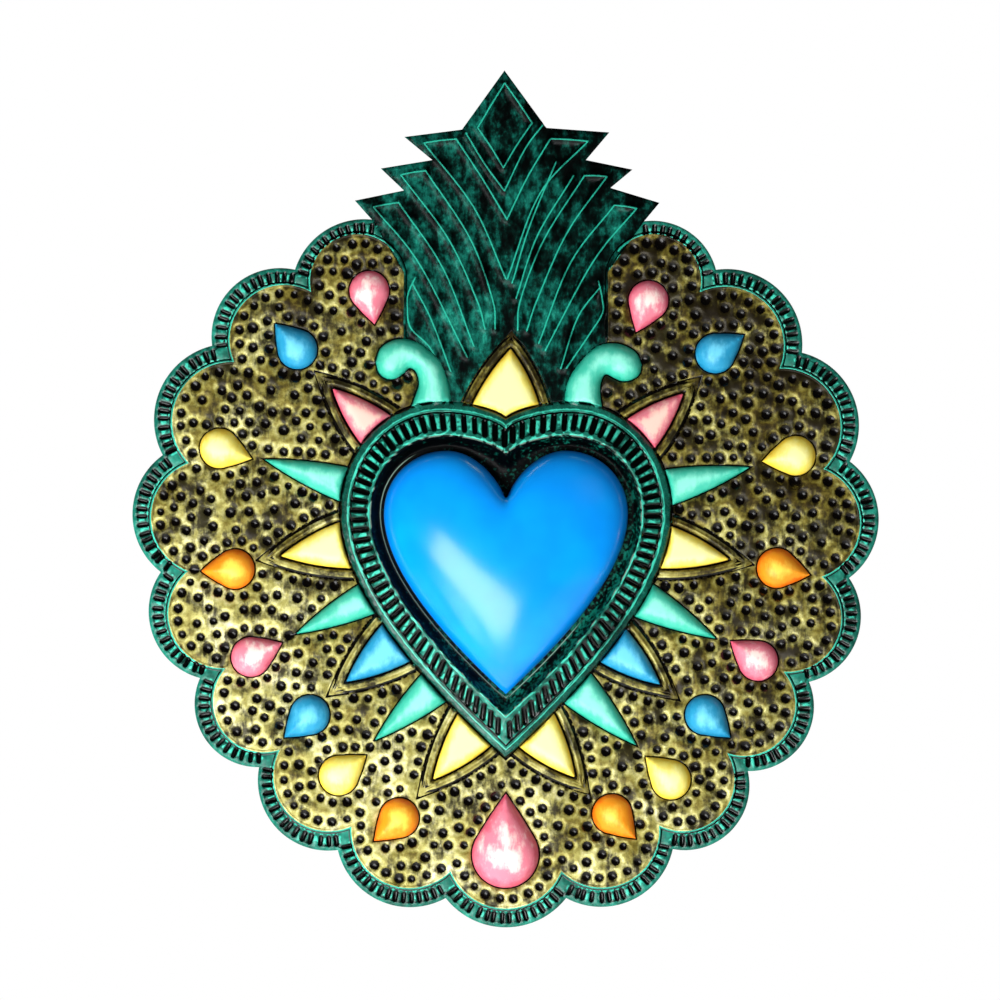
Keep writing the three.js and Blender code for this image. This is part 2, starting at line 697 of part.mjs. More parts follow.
const paintedTin = new THREE.MeshStandardMaterial({ color: 0x2a7a5e, roughness: 0.45, metalness: 0.6 });
const paintedWood = new THREE.MeshStandardMaterial({ color: 0x0a8fe8, roughness: 0.35, metalness: 0 });
const steel = new THREE.MeshStandardMaterial({ color: 0x9a9c9e, roughness: 0.35, metalness: 1 });
const zincedSteel = new THREE.MeshStandardMaterial({ color: 0xb4b8ba, roughness: 0.4, metalness: 1 });
const bareTin = new THREE.MeshStandardMaterial({ color: 0xa9aaa6, roughness: 0.45, metalness: 0.9 });
const solder = new THREE.MeshStandardMaterial({ color: 0x8e9092, roughness: 0.5, metalness: 0.9 });

addPiece("tin_sheet", tinSheet(), paintedTin);
addPiece("wood_heart", woodHeart(), paintedWood);

screwPlaces.forEach(([u, v], i) => {
  const fastener = new THREE.Group();
  fastener.position.set(u, backY, plateZ + v);
  addPiece(`washer_${i + 1}`, washer(), zincedSteel, fastener);
  addPiece(`wood_screw_${i + 1}`, screw(), steel, fastener).position.y = washerThickness;
  ornament.add(fastener);
});

addPiece("hanger_strap", hangerStrap(), bareTin);
addPiece("solder_upper", solderBead(1), solder);
addPiece("solder_lower", solderBead(-1), solder);
addPiece("hanger_ring", hangerRing(), steel);

export default ornament;
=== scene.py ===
"""A milagro heart: the fine relief, paint and metal of a chased tin wall ornament with a wooden heart.

The solid model is loaded as a fixed frame. The tin sheet is rebuilt over it as a fine skin of the same
thickness, with every punched dent, and each finish is made from shader nodes.
"""
from __future__ import annotations

import json
import logging
import math
from dataclasses import dataclass, field
from enum import Enum
from functools import partial
from typing import Any, Callable, Iterable, Sequence

import bpy
import numpy as np
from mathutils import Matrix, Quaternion, Vector
from mathutils.geometry import delaunay_2d_cdt

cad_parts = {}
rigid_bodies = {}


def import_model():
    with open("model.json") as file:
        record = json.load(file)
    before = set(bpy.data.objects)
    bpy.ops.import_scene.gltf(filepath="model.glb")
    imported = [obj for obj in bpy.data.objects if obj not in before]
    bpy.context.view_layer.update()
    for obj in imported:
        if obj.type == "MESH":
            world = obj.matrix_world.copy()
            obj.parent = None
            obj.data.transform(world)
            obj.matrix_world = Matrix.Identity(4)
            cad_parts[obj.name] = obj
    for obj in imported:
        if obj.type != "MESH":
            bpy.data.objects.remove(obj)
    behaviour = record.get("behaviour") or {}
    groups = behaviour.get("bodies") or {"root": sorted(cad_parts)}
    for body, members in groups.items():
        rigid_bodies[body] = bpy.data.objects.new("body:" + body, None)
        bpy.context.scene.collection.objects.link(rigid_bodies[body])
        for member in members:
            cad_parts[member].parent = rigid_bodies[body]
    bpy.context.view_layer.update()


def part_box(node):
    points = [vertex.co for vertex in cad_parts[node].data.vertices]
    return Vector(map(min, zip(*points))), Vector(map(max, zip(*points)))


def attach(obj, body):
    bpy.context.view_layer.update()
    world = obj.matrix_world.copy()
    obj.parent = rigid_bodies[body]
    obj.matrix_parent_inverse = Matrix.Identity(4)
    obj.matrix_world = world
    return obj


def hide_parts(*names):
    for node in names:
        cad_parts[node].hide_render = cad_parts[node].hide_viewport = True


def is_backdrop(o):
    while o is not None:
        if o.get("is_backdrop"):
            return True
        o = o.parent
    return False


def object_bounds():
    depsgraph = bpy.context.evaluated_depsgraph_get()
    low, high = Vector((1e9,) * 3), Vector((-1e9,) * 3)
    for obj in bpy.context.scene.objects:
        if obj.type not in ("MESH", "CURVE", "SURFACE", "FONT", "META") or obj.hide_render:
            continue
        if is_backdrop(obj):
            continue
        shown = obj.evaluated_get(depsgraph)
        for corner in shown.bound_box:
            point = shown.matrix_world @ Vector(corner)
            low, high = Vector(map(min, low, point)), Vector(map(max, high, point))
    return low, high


log = logging.getLogger("milagro_heart")

Socket = bpy.types.NodeSocket
AddNode = Callable[..., Socket]

MM = 0.001
ROOT_BODY = "ornament"
SEED = 11


# Plane geometry. Points are rows of [u, v] in millimetres from the middle of the scalloped plate.


def polar(degrees: float, distance: float) -> np.ndarray:
    """Give the point at an angle and a distance from the plate's middle."""
    turn = math.radians(degrees)
    return np.array([distance * math.cos(turn), distance * math.sin(turn)])


def arc(a: np.ndarray, b: np.ndarray, rise: float, spacing: float) -> np.ndarray:
    """Draw an arc from a to b, without b itself.

    Args:
        a: The start.
        b: The end.
        rise: How far the arc bulges to the left of the way from a to b; negative bulges to the right.
        spacing: The distance between points along it.

    Returns:
        The arc's points.
    """
    half = float(np.linalg.norm(b - a)) / 2
    height = abs(rise)
    radius = (half * half + height * height) / (2 * height)
    along = (b - a) / (2 * half)
    out = np.array([-along[1], along[0]]) * math.copysign(1, rise)
    centre = (a + b) / 2 + out * (height - radius)
    reach = math.atan2(half, radius - height)
    steps = max(3, math.ceil(2 * reach * radius / spacing))
    turns = -reach + 2 * reach * np.arange(steps) / steps
    return centre + radius * (np.sin(turns)[:, None] * along + np.cos(turns)[:, None] * out)


def curve_through(places: Sequence[Sequence[float]], steps: int) -> np.ndarray:
    """Draw a smooth curve through places.

    Args:
        places: The places, in order.
        steps: The number of steps between two neighbouring places.

    Returns:
        The curve's points, with both ends.
    """
    knots = np.asarray(places, dtype=float)
    ends = np.vstack([2 * knots[0] - knots[1], knots, 2 * knots[-1] - knots[-2]])
    share = (np.arange(steps) / steps)[:, None]
    spans = []
    for before, start, end, after in zip(ends[:-3], ends[1:-2], ends[2:-1], ends[3:]):
        bend = 2 * before - 5 * start + 4 * end - after
        twist = 3 * start - before - 3 * end + after
        spans.append(start + 0.5 * ((end - before) * share + bend * share ** 2 + twist * share ** 3))
    return np.vstack([*spans, knots[-1:]])


def subdivided(path: np.ndarray, spacing: float, closed: bool = False) -> np.ndarray:
    """Add points along the straight parts of a path, keeping its corners.

    Args:
        path: The path's points.
        spacing: The greatest distance between two points.
        closed: Whether the last point joins the first.

    Returns:
        The path with the added points.
    """
    ends = np.vstack([path, path[:1]]) if closed else path
    parts = []
    for a, b in zip(ends[:-1], ends[1:]):
        steps = max(1, math.ceil(float(np.linalg.norm(b - a)) / spacing))
        parts.append(a + (b - a) * (np.arange(steps) / steps)[:, None])
    if not closed:
        parts.append(ends[-1:])
    return np.vstack(parts)


def offset(path: np.ndarray, distance: float, closed: bool = False) -> np.ndarray:
    """Draw a path's parallel to its left, with mitred corners.

    Args:
        path: The path's points.
        distance: How far to the left; negative is to the right.
        closed: Whether the last point joins the first.

    Returns:
        As many points as the path has.
    """
    ring = np.vstack([path[-1:], path, path[:1]]) if closed else path
    legs = np.diff(ring, axis=0)
    legs /= np.maximum(np.linalg.norm(legs, axis=1), 1e-9)[:, None]
    if closed:
        before, after = legs[:-1], legs[1:]
    else:
        before, after = np.vstack([legs[:1], legs]), np.vstack([legs, legs[-1:]])
    along = before + after
    along /= np.maximum(np.linalg.norm(along, axis=1), 1e-9)[:, None]
    stretch = np.maximum(np.sum(along * before, axis=1), 0.35)[:, None]
    return path + np.column_stack([-along[:, 1], along[:, 0]]) * distance / stretch


def distance_to(points: np.ndarray, path: np.ndarray, closed: bool = False, reach: float = 1e9) -> np.ndarray:
    """Measure how far points lie from a path.

    Args:
        points: The points.
        path: The path's points.
        closed: Whether the last point joins the first.
        reach: Points further away than this are given this distance.

    Returns:
        One distance a point.
    """
    result = np.full(len(points), float(reach))
    low, high = path.min(axis=0) - reach, path.max(axis=0) + reach
    near = np.flatnonzero(np.all((points >= low) & (points <= high), axis=1))
    starts = path
    ends = np.roll(path, -1, axis=0)
    if not closed:
        starts, ends = path[:-1], path[1:]
    spans = ends - starts
    squares = np.maximum(np.sum(spans ** 2, axis=1), 1e-12)
    chunk = max(1, 4_000_000 // len(starts))
    for first in range(0, len(near), chunk):
        rows = near[first:first + chunk]
        to_start = points[rows, None, :] - starts[None]
        share = np.clip(np.sum(to_start * spans, axis=2) / squares, 0, 1)
        gap = to_start - share[..., None] * spans
        result[rows] = np.minimum(np.sqrt(np.min(np.sum(gap ** 2, axis=2), axis=1)), reach)
    return result


def inside(points: np.ndarray, outline: np.ndarray) -> np.ndarray:
    """Tell which points lie inside a closed outline.

    Args:
        points: The points.
        outline: The outline's points.

    Returns:
        One truth value a point.
    """
    result = np.zeros(len(points), dtype=bool)
    low, high = outline.min(axis=0), outline.max(axis=0)
    near = np.flatnonzero(np.all((points >= low) & (points <= high), axis=1))
    a = outline
    b = np.roll(outline, -1, axis=0)
    rise = b[:, 1] - a[:, 1]
    slope = (b[:, 0] - a[:, 0]) / np.where(rise == 0, 1, rise)
    chunk = max(1, 8_000_000 // len(a))
    for first in range(0, len(near), chunk):
        rows = near[first:first + chunk]
        u, v = points[rows, 0:1], points[rows, 1:2]
        spans = (a[:, 1] > v) != (b[:, 1] > v)
        crosses = spans & (u < a[:, 0] + slope * (v - a[:, 1]))
        result[rows] = np.count_nonzero(crosses, axis=1) % 2 == 1
    return result


def smooth(value: np.ndarray, low: float, high: float) -> np.ndarray:
    """Rise smoothly from 0 at low to 1 at high."""
    share = np.clip((value - low) / (high - low), 0, 1)
    return share * share * (3 - 2 * share)


def roof(distance: np.ndarray, half_width: float) -> np.ndarray:
    """Give a ridge's share of its height at a distance from its crest."""
    return np.clip(1 - distance / half_width, 0, 1)


def hump(value: np.ndarray, middle: float, width: float) -> np.ndarray:
    """Give a soft hump's share of its height: 1 at the middle and fading on both sides."""
    return np.exp(-((value - middle) / width) ** 2)


def dome(inset: np.ndarray, radius: float, fullness: float = 0.62) -> np.ndarray:
    """Give a boss's share of its height at a distance inside its outline.

    Args:
        inset: How far inside the outline.
        radius: The distance at which the boss is at its full height.
        fullness: A smaller value makes the sides steeper and the top flatter.

    Returns:
        A share from 0 to 1.
    """
    share = np.clip(inset / radius, 0, 1)
    return (1 - (1 - share) ** 2) ** fullness


# The plan of the sheet


@dataclass(frozen=True)
class HeartLine:
    """One heart-shaped line: half its width, its waist's height, its lobes' crests, cusp and tip."""

    side: float
    waist: float
    lobe: float
    top: float
    cusp: float
    tip: float

    def grown(self, side: float, top: float, cusp: float, tip: float) -> HeartLine:
        """Give the heart line that lies outside this one by these amounts."""
        return HeartLine(
            self.side + side, self.waist, self.lobe + side / 8,
            self.top + top, self.cusp + cusp, self.tip - tip,
        )

    def shrunk(self, share: float) -> HeartLine:
        """Give a smaller heart line whose cusp fades out as it shrinks."""
        cusp = self.cusp + (self.top - self.cusp) * (1 - share)
        sizes = (self.side, self.waist, self.lobe, self.top, cusp, self.tip)
        return HeartLine(*(size * share for size in sizes))

    def outline(self, steps: int = 26) -> np.ndarray:
        """Draw the line, counter-clockwise from its tip.

        Args:
            steps: The number of steps on each of its six curves.

        Returns:
            The outline's points.
        """
        drop = self.waist - self.tip
        lobe_out = self.lobe + 0.57 * (self.side - self.lobe)
        rise = self.top - self.cusp
        right = [
            [(0, self.tip), (0.6 * self.side, self.tip + 0.37 * drop), (self.side, self.waist - 0.28 * drop),
             (self.side, self.waist)],
            [(self.side, self.waist), (self.side, self.waist + 0.56 * (self.top - self.waist)),
             (lobe_out, self.top), (self.lobe, self.top)],
            [(self.lobe, self.top), (0.52 * self.lobe, self.top), (0.09 * self.lobe, self.cusp + 0.42 * rise),
             (0, self.cusp)],
        ]
        share = (np.arange(steps) / steps)[:, None]
        half = np.vstack([
            (1 - share) ** 3 * p0 + 3 * share * (1 - share) ** 2 * p1 + 3 * share ** 2 * (1 - share) * p2
            + share ** 3 * p3
            for p0, p1, p2, p3 in (np.array(curve, dtype=float) for curve in right)
        ])
        left = half[1:][::-1] * (-1, 1)
        return np.vstack([half, [[0, self.cusp]], left])


class Paint(Enum):
    """The translucent lacquers on the raised shapes."""

    PINK = "pink"
    YELLOW = "yellow"
    ORANGE = "orange"
    BLUE = "blue"
    MINT = "mint"


@dataclass(frozen=True)
class Drop:
    """A teardrop boss in the dotted field."""

    angle: float
    distance: float
    points_to: float
    paint: Paint
    radius: float = 7.1
    reach: float = 12.2
    height: float = 3.0
    side_bulge: float = 0.25

    def centre(self) -> np.ndarray:
        """Give the middle of the round end."""
        return polar(self.angle, self.distance)

    def outline(self, spacing: float) -> np.ndarray:
        """Draw the drop, counter-clockwise from its point.

        Args:
            spacing: The distance between points.

        Returns:
            The outline's points.
        """
        way = math.radians(self.points_to)
        opening = math.acos(self.radius / self.reach)
        steps = math.ceil(self.radius * (2 * math.pi - 2 * opening) / spacing)
        turns = way + opening + (2 * math.pi - 2 * opening) * np.arange(steps + 1) / steps
        round_end = self.centre() + self.radius * np.column_stack([np.cos(turns), np.sin(turns)])
        point = self.centre() + polar(self.points_to, self.reach)
        start, end = round_end[0], round_end[-1]
        start_bulge = self.side_bulge * polar(self.points_to + 90, 1)
        end_bulge = self.side_bulge * polar(self.points_to - 90, 1)
        side = curve_through([point, (point + start) / 2 + start_bulge, start], 12)
        other = curve_through([end, (point + end) / 2 + end_bulge, point], 12)
        return np.vstack([side[:-1], round_end[:-1], other[:-1]])


@dataclass(frozen=True)
class Ray:
    """A pointed boss around the heart's frame, plain or set in a chased surround."""

    tip_angle: float
    reach: float
    foot_angle: float
    spread: float
    framed: bool
    paint: Paint


@dataclass(frozen=True)
class SheetPlan:
    """Where everything lies on the tin sheet, in millimetres."""

    cusps: tuple[tuple[float, float], ...] = (
        (67.8, 129.9), (54.1, 127.2), (35.0, 128.3), (16.0, 127.0), (-3.0, 122.0), (-21.9, 116.0),
        (-41.1, 114.0), (-60.0, 118.5), (-79.9, 121.9), (-100.1, 121.9), (-120.1, 119.0), (-140.0, 114.4),
        (-158.9, 116.4), (-178.0, 122.6), (-197.0, 127.4), (-216.1, 129.1), (-234.0, 127.4), (-248.5, 129.9),
    )
    lobe_rise: float = 10.4
    end_lobe_rise: float = 5.8
    flame_edge: tuple[tuple[float, float], ...] = (
        (-53.6, 127.6), (-36.2, 131.2), (-44.4, 139.0), (-26.1, 142.0), (-36.0, 150.2), (-15.6, 152.8),
        (-0.5, 173.8), (14.4, 153.4), (36.7, 151.8), (28.4, 142.0), (44.9, 138.6), (37.1, 132.1),
        (54.5, 126.8),
    )
    band_at_crest: float = 6.9
    band_at_cusp: float = 9.8
    field_corner: tuple[float, float] = (36.2, 102.2)
    field_corner_rise: float = 17
    field_foot: tuple[float, float] = (36.3, 79)
    wood: HeartLine = HeartLine(43.3, 16.5, 21, 38.8, 21, -47.6)
    ray_bulge: float = 1.1
    surround_width: float = 4.1
    framed_underlap: float = 0.8
    plain_underlap: float = 4.0
    spacing: float = 0.62
    drops: tuple[Drop, ...] = (
        Drop(61.2, 105.1, 248.7, Paint.PINK),
        Drop(44.6, 104.4, 33.0, Paint.BLUE),
        Drop(19.8, 109.3, 189.6, Paint.YELLOW),
        Drop(-1.7, 96.2, -11.6, Paint.ORANGE),
        Drop(-21.8, 96.4, 144.5, Paint.PINK),
        Drop(-37.9, 89.5, -41.6, Paint.BLUE),
        Drop(-53.1, 97.5, 138.0, Paint.YELLOW),
        Drop(-67.3, 97.7, -46.3, Paint.ORANGE),
        Drop(-90.1, 104.5, 89.5, Paint.PINK, 11.9, 21.8, 5.5),
        Drop(-112.5, 99.1, 222.5, Paint.ORANGE),
        Drop(-127.8, 96.8, 36.2, Paint.YELLOW),
        Drop(-141.7, 88.7, 221.5, Paint.BLUE),
        Drop(-159.2, 96.8, 24.3, Paint.PINK),
        Drop(181.9, 96.3, 183.3, Paint.ORANGE),
        Drop(158.7, 109.1, -17.9, Paint.YELLOW),
        Drop(134.7, 105.2, 131.1, Paint.BLUE),
        Drop(116.9, 107.2, -80.8, Paint.PINK),
    )
    rays: tuple[Ray, ...] = (
        Ray(88.7, 23.6, 90.1, 12.6, True, Paint.YELLOW),
        Ray(43.2, 20.5, 43.1, 6.5, True, Paint.PINK),
        Ray(20.8, 30.2, 24.6, 6.5, False, Paint.MINT),
        Ray(0.1, 23.5, 4.4, 7.6, True, Paint.YELLOW),
        Ray(-20.5, 29.6, -15.7, 8.2, False, Paint.MINT),
        Ray(-38.9, 21.8, -38.5, 9.0, True, Paint.BLUE),
        Ray(-54.8, 30.1, -61.6, 8.4, False, Paint.MINT),
        Ray(-72.3, 24.3, -79.5, 6.8, True, Paint.YELLOW),
        Ray(-108.4, 25.8, -100.7, 6.5, True, Paint.YELLOW),
        Ray(-126.1, 29.0, -118.4, 7.6, False, Paint.MINT),
        Ray(-142.7, 22.7, -143.0, 10.0, True, Paint.BLUE),
        Ray(-160.6, 28.8, -165.0, 7.3, False, Paint.MINT),
        Ray(179.0, 23.9, 174.9, 8.3, True, Paint.YELLOW),
        Ray(157.4, 29.9, 154.6, 6.2, False, Paint.MINT),
        Ray(135.3, 20.8, 134.9, 6.6, True, Paint.PINK),
    )
    ridges: tuple[tuple[tuple[float, float], ...], ...] = (
        ((-0.4, 169.3), (-5.4, 161.2), (-10.0, 153.4)),
        ((-10.0, 153.4), (-5.2, 146.4), (-0.9, 139.2)),
        ((-0.9, 139.2), (4.0, 147.4), (9.3, 155.1)),
        ((9.3, 155.1), (4.6, 162.2), (-0.4, 169.3)),
        ((-13.8, 150.9), (-7.6, 140.7), (-0.5, 131.0)),
        ((13.1, 154.4), (6.7, 145.7), (-0.5, 131.0)),
        ((-29.1, 148.0), (-23.4, 148.9), (-17.6, 149.4)),
        ((29.1, 148.6), (22.6, 149.2), (16.1, 149.5)),
        ((-17.6, 149.4), (-8.5, 135.6), (0.4, 120.9)),
        ((15.5, 149.0), (7.5, 135.6), (0.4, 120.9)),
        ((-29.1, 148.0), (-11.4, 125.2), (0.0, 99.8)),
        ((29.1, 148.6), (12.0, 129.9), (0.5, 99.8)),
        ((-37.3, 136.7), (-32.9, 137.6), (-28.5, 138.2)),
        ((35.9, 136.1), (31.9, 136.4), (27.9, 136.4)),
        ((-28.5, 138.2), (-12.8, 114.3), (-4.7, 92.3), (-3.8, 82)),
        ((27.9, 136.4), (13.5, 113.7), (5.2, 92.3), (4.2, 82)),
        ((-37.3, 136.7), (-20.6, 114.3), (-10.3, 92.3), (-7.5, 82.4)),
        ((35.9, 136.1), (21.7, 116.1), (11.1, 92.3), (7.5, 81.6)),
        ((-47.0, 125.3), (-42.6, 126.2), (-38.1, 126.9)),
        ((46.4, 124.8), (42.5, 125.5), (38.5, 125.9)),
        ((-38.1, 126.9), (-22.4, 103.7), (-11.4, 76.0)),
        ((38.5, 125.9), (22.9, 105.4), (11.7, 77.0)),
        ((-47.0, 125.3), (-30.9, 105.4), (-13.9, 72.4)),
        ((46.4, 124.8), (31.1, 106.1), (14.0, 74.5)),
        ((-33.1, 98.0), (-26.6, 85.6), (-19.6, 67.1)),
        ((33.5, 97.0), (25.5, 86.0), (19.5, 68.1)),
        ((-22.5, 66.6), (-27.1, 75.6), (-33.8, 82.5), (-35.0, 90.0), (-34.6, 94.8), (-32.3, 100.0)),
        ((21.5, 68.1), (29.5, 79.9), (34.2, 87.5), (34.2, 92.5), (33.0, 98.5)),
        ((17.7, 141.0), (8.4, 118.4), (2.3, 98.5)),
        ((23.8, 136.0), (11.1, 114.9), (3.6, 92.8)),
    )
    crack: tuple[tuple[float, float], ...] = (
        (118.4, 19.4), (117.9, 16.6), (118.6, 14.2), (118.0, 11.6), (118.3, 9.6),
    )

    def floor_line(self) -> HeartLine:
        """Give the edge of the recess's flat floor."""
        return self.wood.grown(2, 2, 8, 3)

    def rim_line(self) -> HeartLine:
        """Give the frame's inner edge, its highest line."""
        return self.floor_line().grown(2.9, 3.5, 8.8, 4.8)

    def ledge_line(self) -> HeartLine:
        """Give the chased line between the frame's ledge and its fluted slope."""
        return self.rim_line().grown(8, 9.2, 9.8, 11.9)

    def frame_line(self) -> HeartLine:
        """Give the frame's outer edge."""
        return self.ledge_line().grown(2.9, 2.7, 3, 3.5)

    def lobe_arcs(self) -> list[tuple[np.ndarray, np.ndarray, float]]:
        """List each lobe's ends and rise, clockwise from the flame's right side."""
        cusps = [polar(*cusp) for cusp in self.cusps]
        last = len(cusps) - 2
        return [
            (a, b, self.end_lobe_rise if i in (0, last) else self.lobe_rise)
            for i, (a, b) in enumerate(zip(cusps[:-1], cusps[1:]))
        ]

    def edge(self) -> np.ndarray:
        """Draw the sheet's cut edge, clockwise."""
        lobes = [arc(a, b, rise, self.spacing) for a, b, rise in self.lobe_arcs()]
        flame = np.array([polar(*self.cusps[-1]), *self.flame_edge, polar(*self.cusps[0])])
        return np.vstack([*lobes, subdivided(flame, self.spacing)[:-1]])

    def field_line(self) -> np.ndarray:
        """Draw the chased line around the dotted field, clockwise from the flame's right foot."""
        cusps = [polar(angle, distance - self.band_at_cusp) for angle, distance in self.cusps[1:-1]]
        rise = self.lobe_rise + self.band_at_cusp - self.band_at_crest
        right, left = np.array(self.field_corner), np.array(self.field_corner) * (-1, 1)
        feet = np.array(self.field_foot), np.array(self.field_foot) * (-1, 1)
        lobes = [arc(a, b, rise, self.spacing) for a, b in zip(cusps[:-1], cusps[1:])]
        return np.vstack([
            subdivided(np.array([feet[0], right]), self.spacing)[:-1],
            arc(right, cusps[0], self.field_corner_rise, self.spacing),
            *lobes,
            arc(cusps[-1], left, self.field_corner_rise, self.spacing),
            subdivided(np.array([left, feet[1]]), self.spacing),
        ])

    def flame_area(self) -> np.ndarray:
        """Draw the flame's area, over the scrolls and down to the frame."""
        foot_u, foot_v = self.field_foot
        corner_u, corner_v = self.field_corner
        side = [(corner_u, corner_v), (foot_u, foot_v), (35.5, 72), (29, 70), (26, 62), (26.5, 48)]
        left = [(-u, v) for u, v in side]
        notches = [polar(*self.cusps[-1]), polar(*self.cusps[0])]
        return np.array([notches[0], *self.flame_edge, notches[1], *side, (0, 36), *reversed(left)])

    def ray_foot(self, ray: Ray, turn: float, frame: np.ndarray) -> np.ndarray:
        """Give a place under the frame's outer edge at a ray's foot.

        Args:
            ray: The ray.
            turn: The place's direction from the middle of the foot, in degrees.
            frame: The frame's outer edge.

        Returns:
            The place.
        """
        degrees = ray.foot_angle + turn
        underlap = self.framed_underlap if ray.framed else self.plain_underlap
        return polar(degrees, reach_of(frame, degrees) - underlap)

    def ray_sides(self, ray: Ray, frame: np.ndarray) -> np.ndarray:
        """Draw a ray's sides, counter-clockwise from one foot over the tip to the other."""
        right = self.ray_foot(ray, -ray.spread, frame)
        left = self.ray_foot(ray, ray.spread, frame)
        tip = polar(ray.tip_angle, reach_of(frame, ray.tip_angle) + ray.reach)
        return np.vstack([
            arc(right, tip, -self.ray_bulge, self.spacing),
            arc(tip, left, -self.ray_bulge, self.spacing),
            [left],
        ])

    def scroll_outline(self, side: int) -> np.ndarray:
        """Draw one scroll: its bead, crown and stem.

        Args:
            side: -1 for the left scroll and 1 for the right one.

        Returns:
            The closed outline's points.
        """
        if side < 0:
            outer = [(-46.4, 70.3), (-44.6, 75.2), (-40.6, 78.0), (-36.6, 78.6), (-32.0, 77.6), (-28.0, 74.9),
                     (-23.8, 71.0), (-21.2, 65.7), (-19.8, 60), (-19, 52)]
            inner = [(-34.6, 52), (-32.4, 57.9), (-31.0, 62.5), (-32.0, 66.6), (-34.2, 68.0), (-36.2, 66.2),
                     (-39, 64.3), (-42.4, 64.2), (-45.2, 66.4)]
        else:
            outer = [(48.3, 69.3), (46.4, 73.5), (41.6, 76.4), (36.4, 77.0), (32.2, 75.8), (28.6, 72.8),
                     (25.3, 69.0), (22.7, 65.0), (21.2, 60.2), (20.4, 52)]
            inner = [(34.6, 52), (33.6, 58.9), (33.9, 63.2), (35.4, 65.8), (38.2, 64.6), (41.4, 63.4),
                     (45.0, 64.0), (47.6, 66.2)]
        steps = 7
        return np.vstack([curve_through(outer, steps), curve_through([*inner, outer[0]], steps)[:-1]])


def reach_of(outline: np.ndarray, degrees: float) -> float:
    """Measure from the plate's middle to a closed outline, in one direction.

    Args:
        outline: The outline's points.
        degrees: The direction.

    Returns:
        The distance in millimetres.
    """
    way = polar(degrees, 1)
    ends = np.roll(outline, -1, axis=0)
    cross_a = way[0] * outline[:, 1] - way[1] * outline[:, 0]
    cross_b = way[0] * ends[:, 1] - way[1] * ends[:, 0]
    crossing = (cross_a * cross_b <= 0) & (cross_a != cross_b)
    share = cross_a[crossing] / (cross_a[crossing] - cross_b[crossing])
    hits = outline[crossing] + share[:, None] * (ends[crossing] - outline[crossing])
    return float(np.max(hits @ way))


class Zone(Enum):
    """The parts of the sheet's front that are painted alike."""

    OUTSIDE = 0
    BORDER = 1
    FIELD = 2
    FLAME = 3
    FRAME = 4
    RECESS = 5
    SURROUND = 6
    SCROLL = 7
    DROP = 8
    PLAIN_RAY = 9
    FRAMED_RAY = 10


@dataclass
class Punch:
    """The marks of one punch: their places, directions and sizes."""

    places: np.ndarray
    ways: np.ndarray
    radii: np.ndarray
    half_length: float


@dataclass
class Relief:
    """The sheet's front at a set of points, which the sheet's form shapes step by step."""

    points: np.ndarray
    zone: np.ndarray
    in_field: np.ndarray
    in_frame: np.ndarray
    height: np.ndarray
    # Black patina in the grooves and pits, and painted shade beside the dotted field's edges
    patina: np.ndarray
    crest: np.ndarray
    inset: np.ndarray

    def darken(self, where: np.ndarray, patina: np.ndarray) -> None:
        """Let black settle in a groove, where a mask holds."""
        self.patina = np.where(where, np.maximum(self.patina, patina), self.patina)

    def brighten(self, where: np.ndarray, crest: np.ndarray) -> None:
        """Mark a crest, where a mask holds."""
        self.crest = np.where(where, np.maximum(self.crest, crest), self.crest)


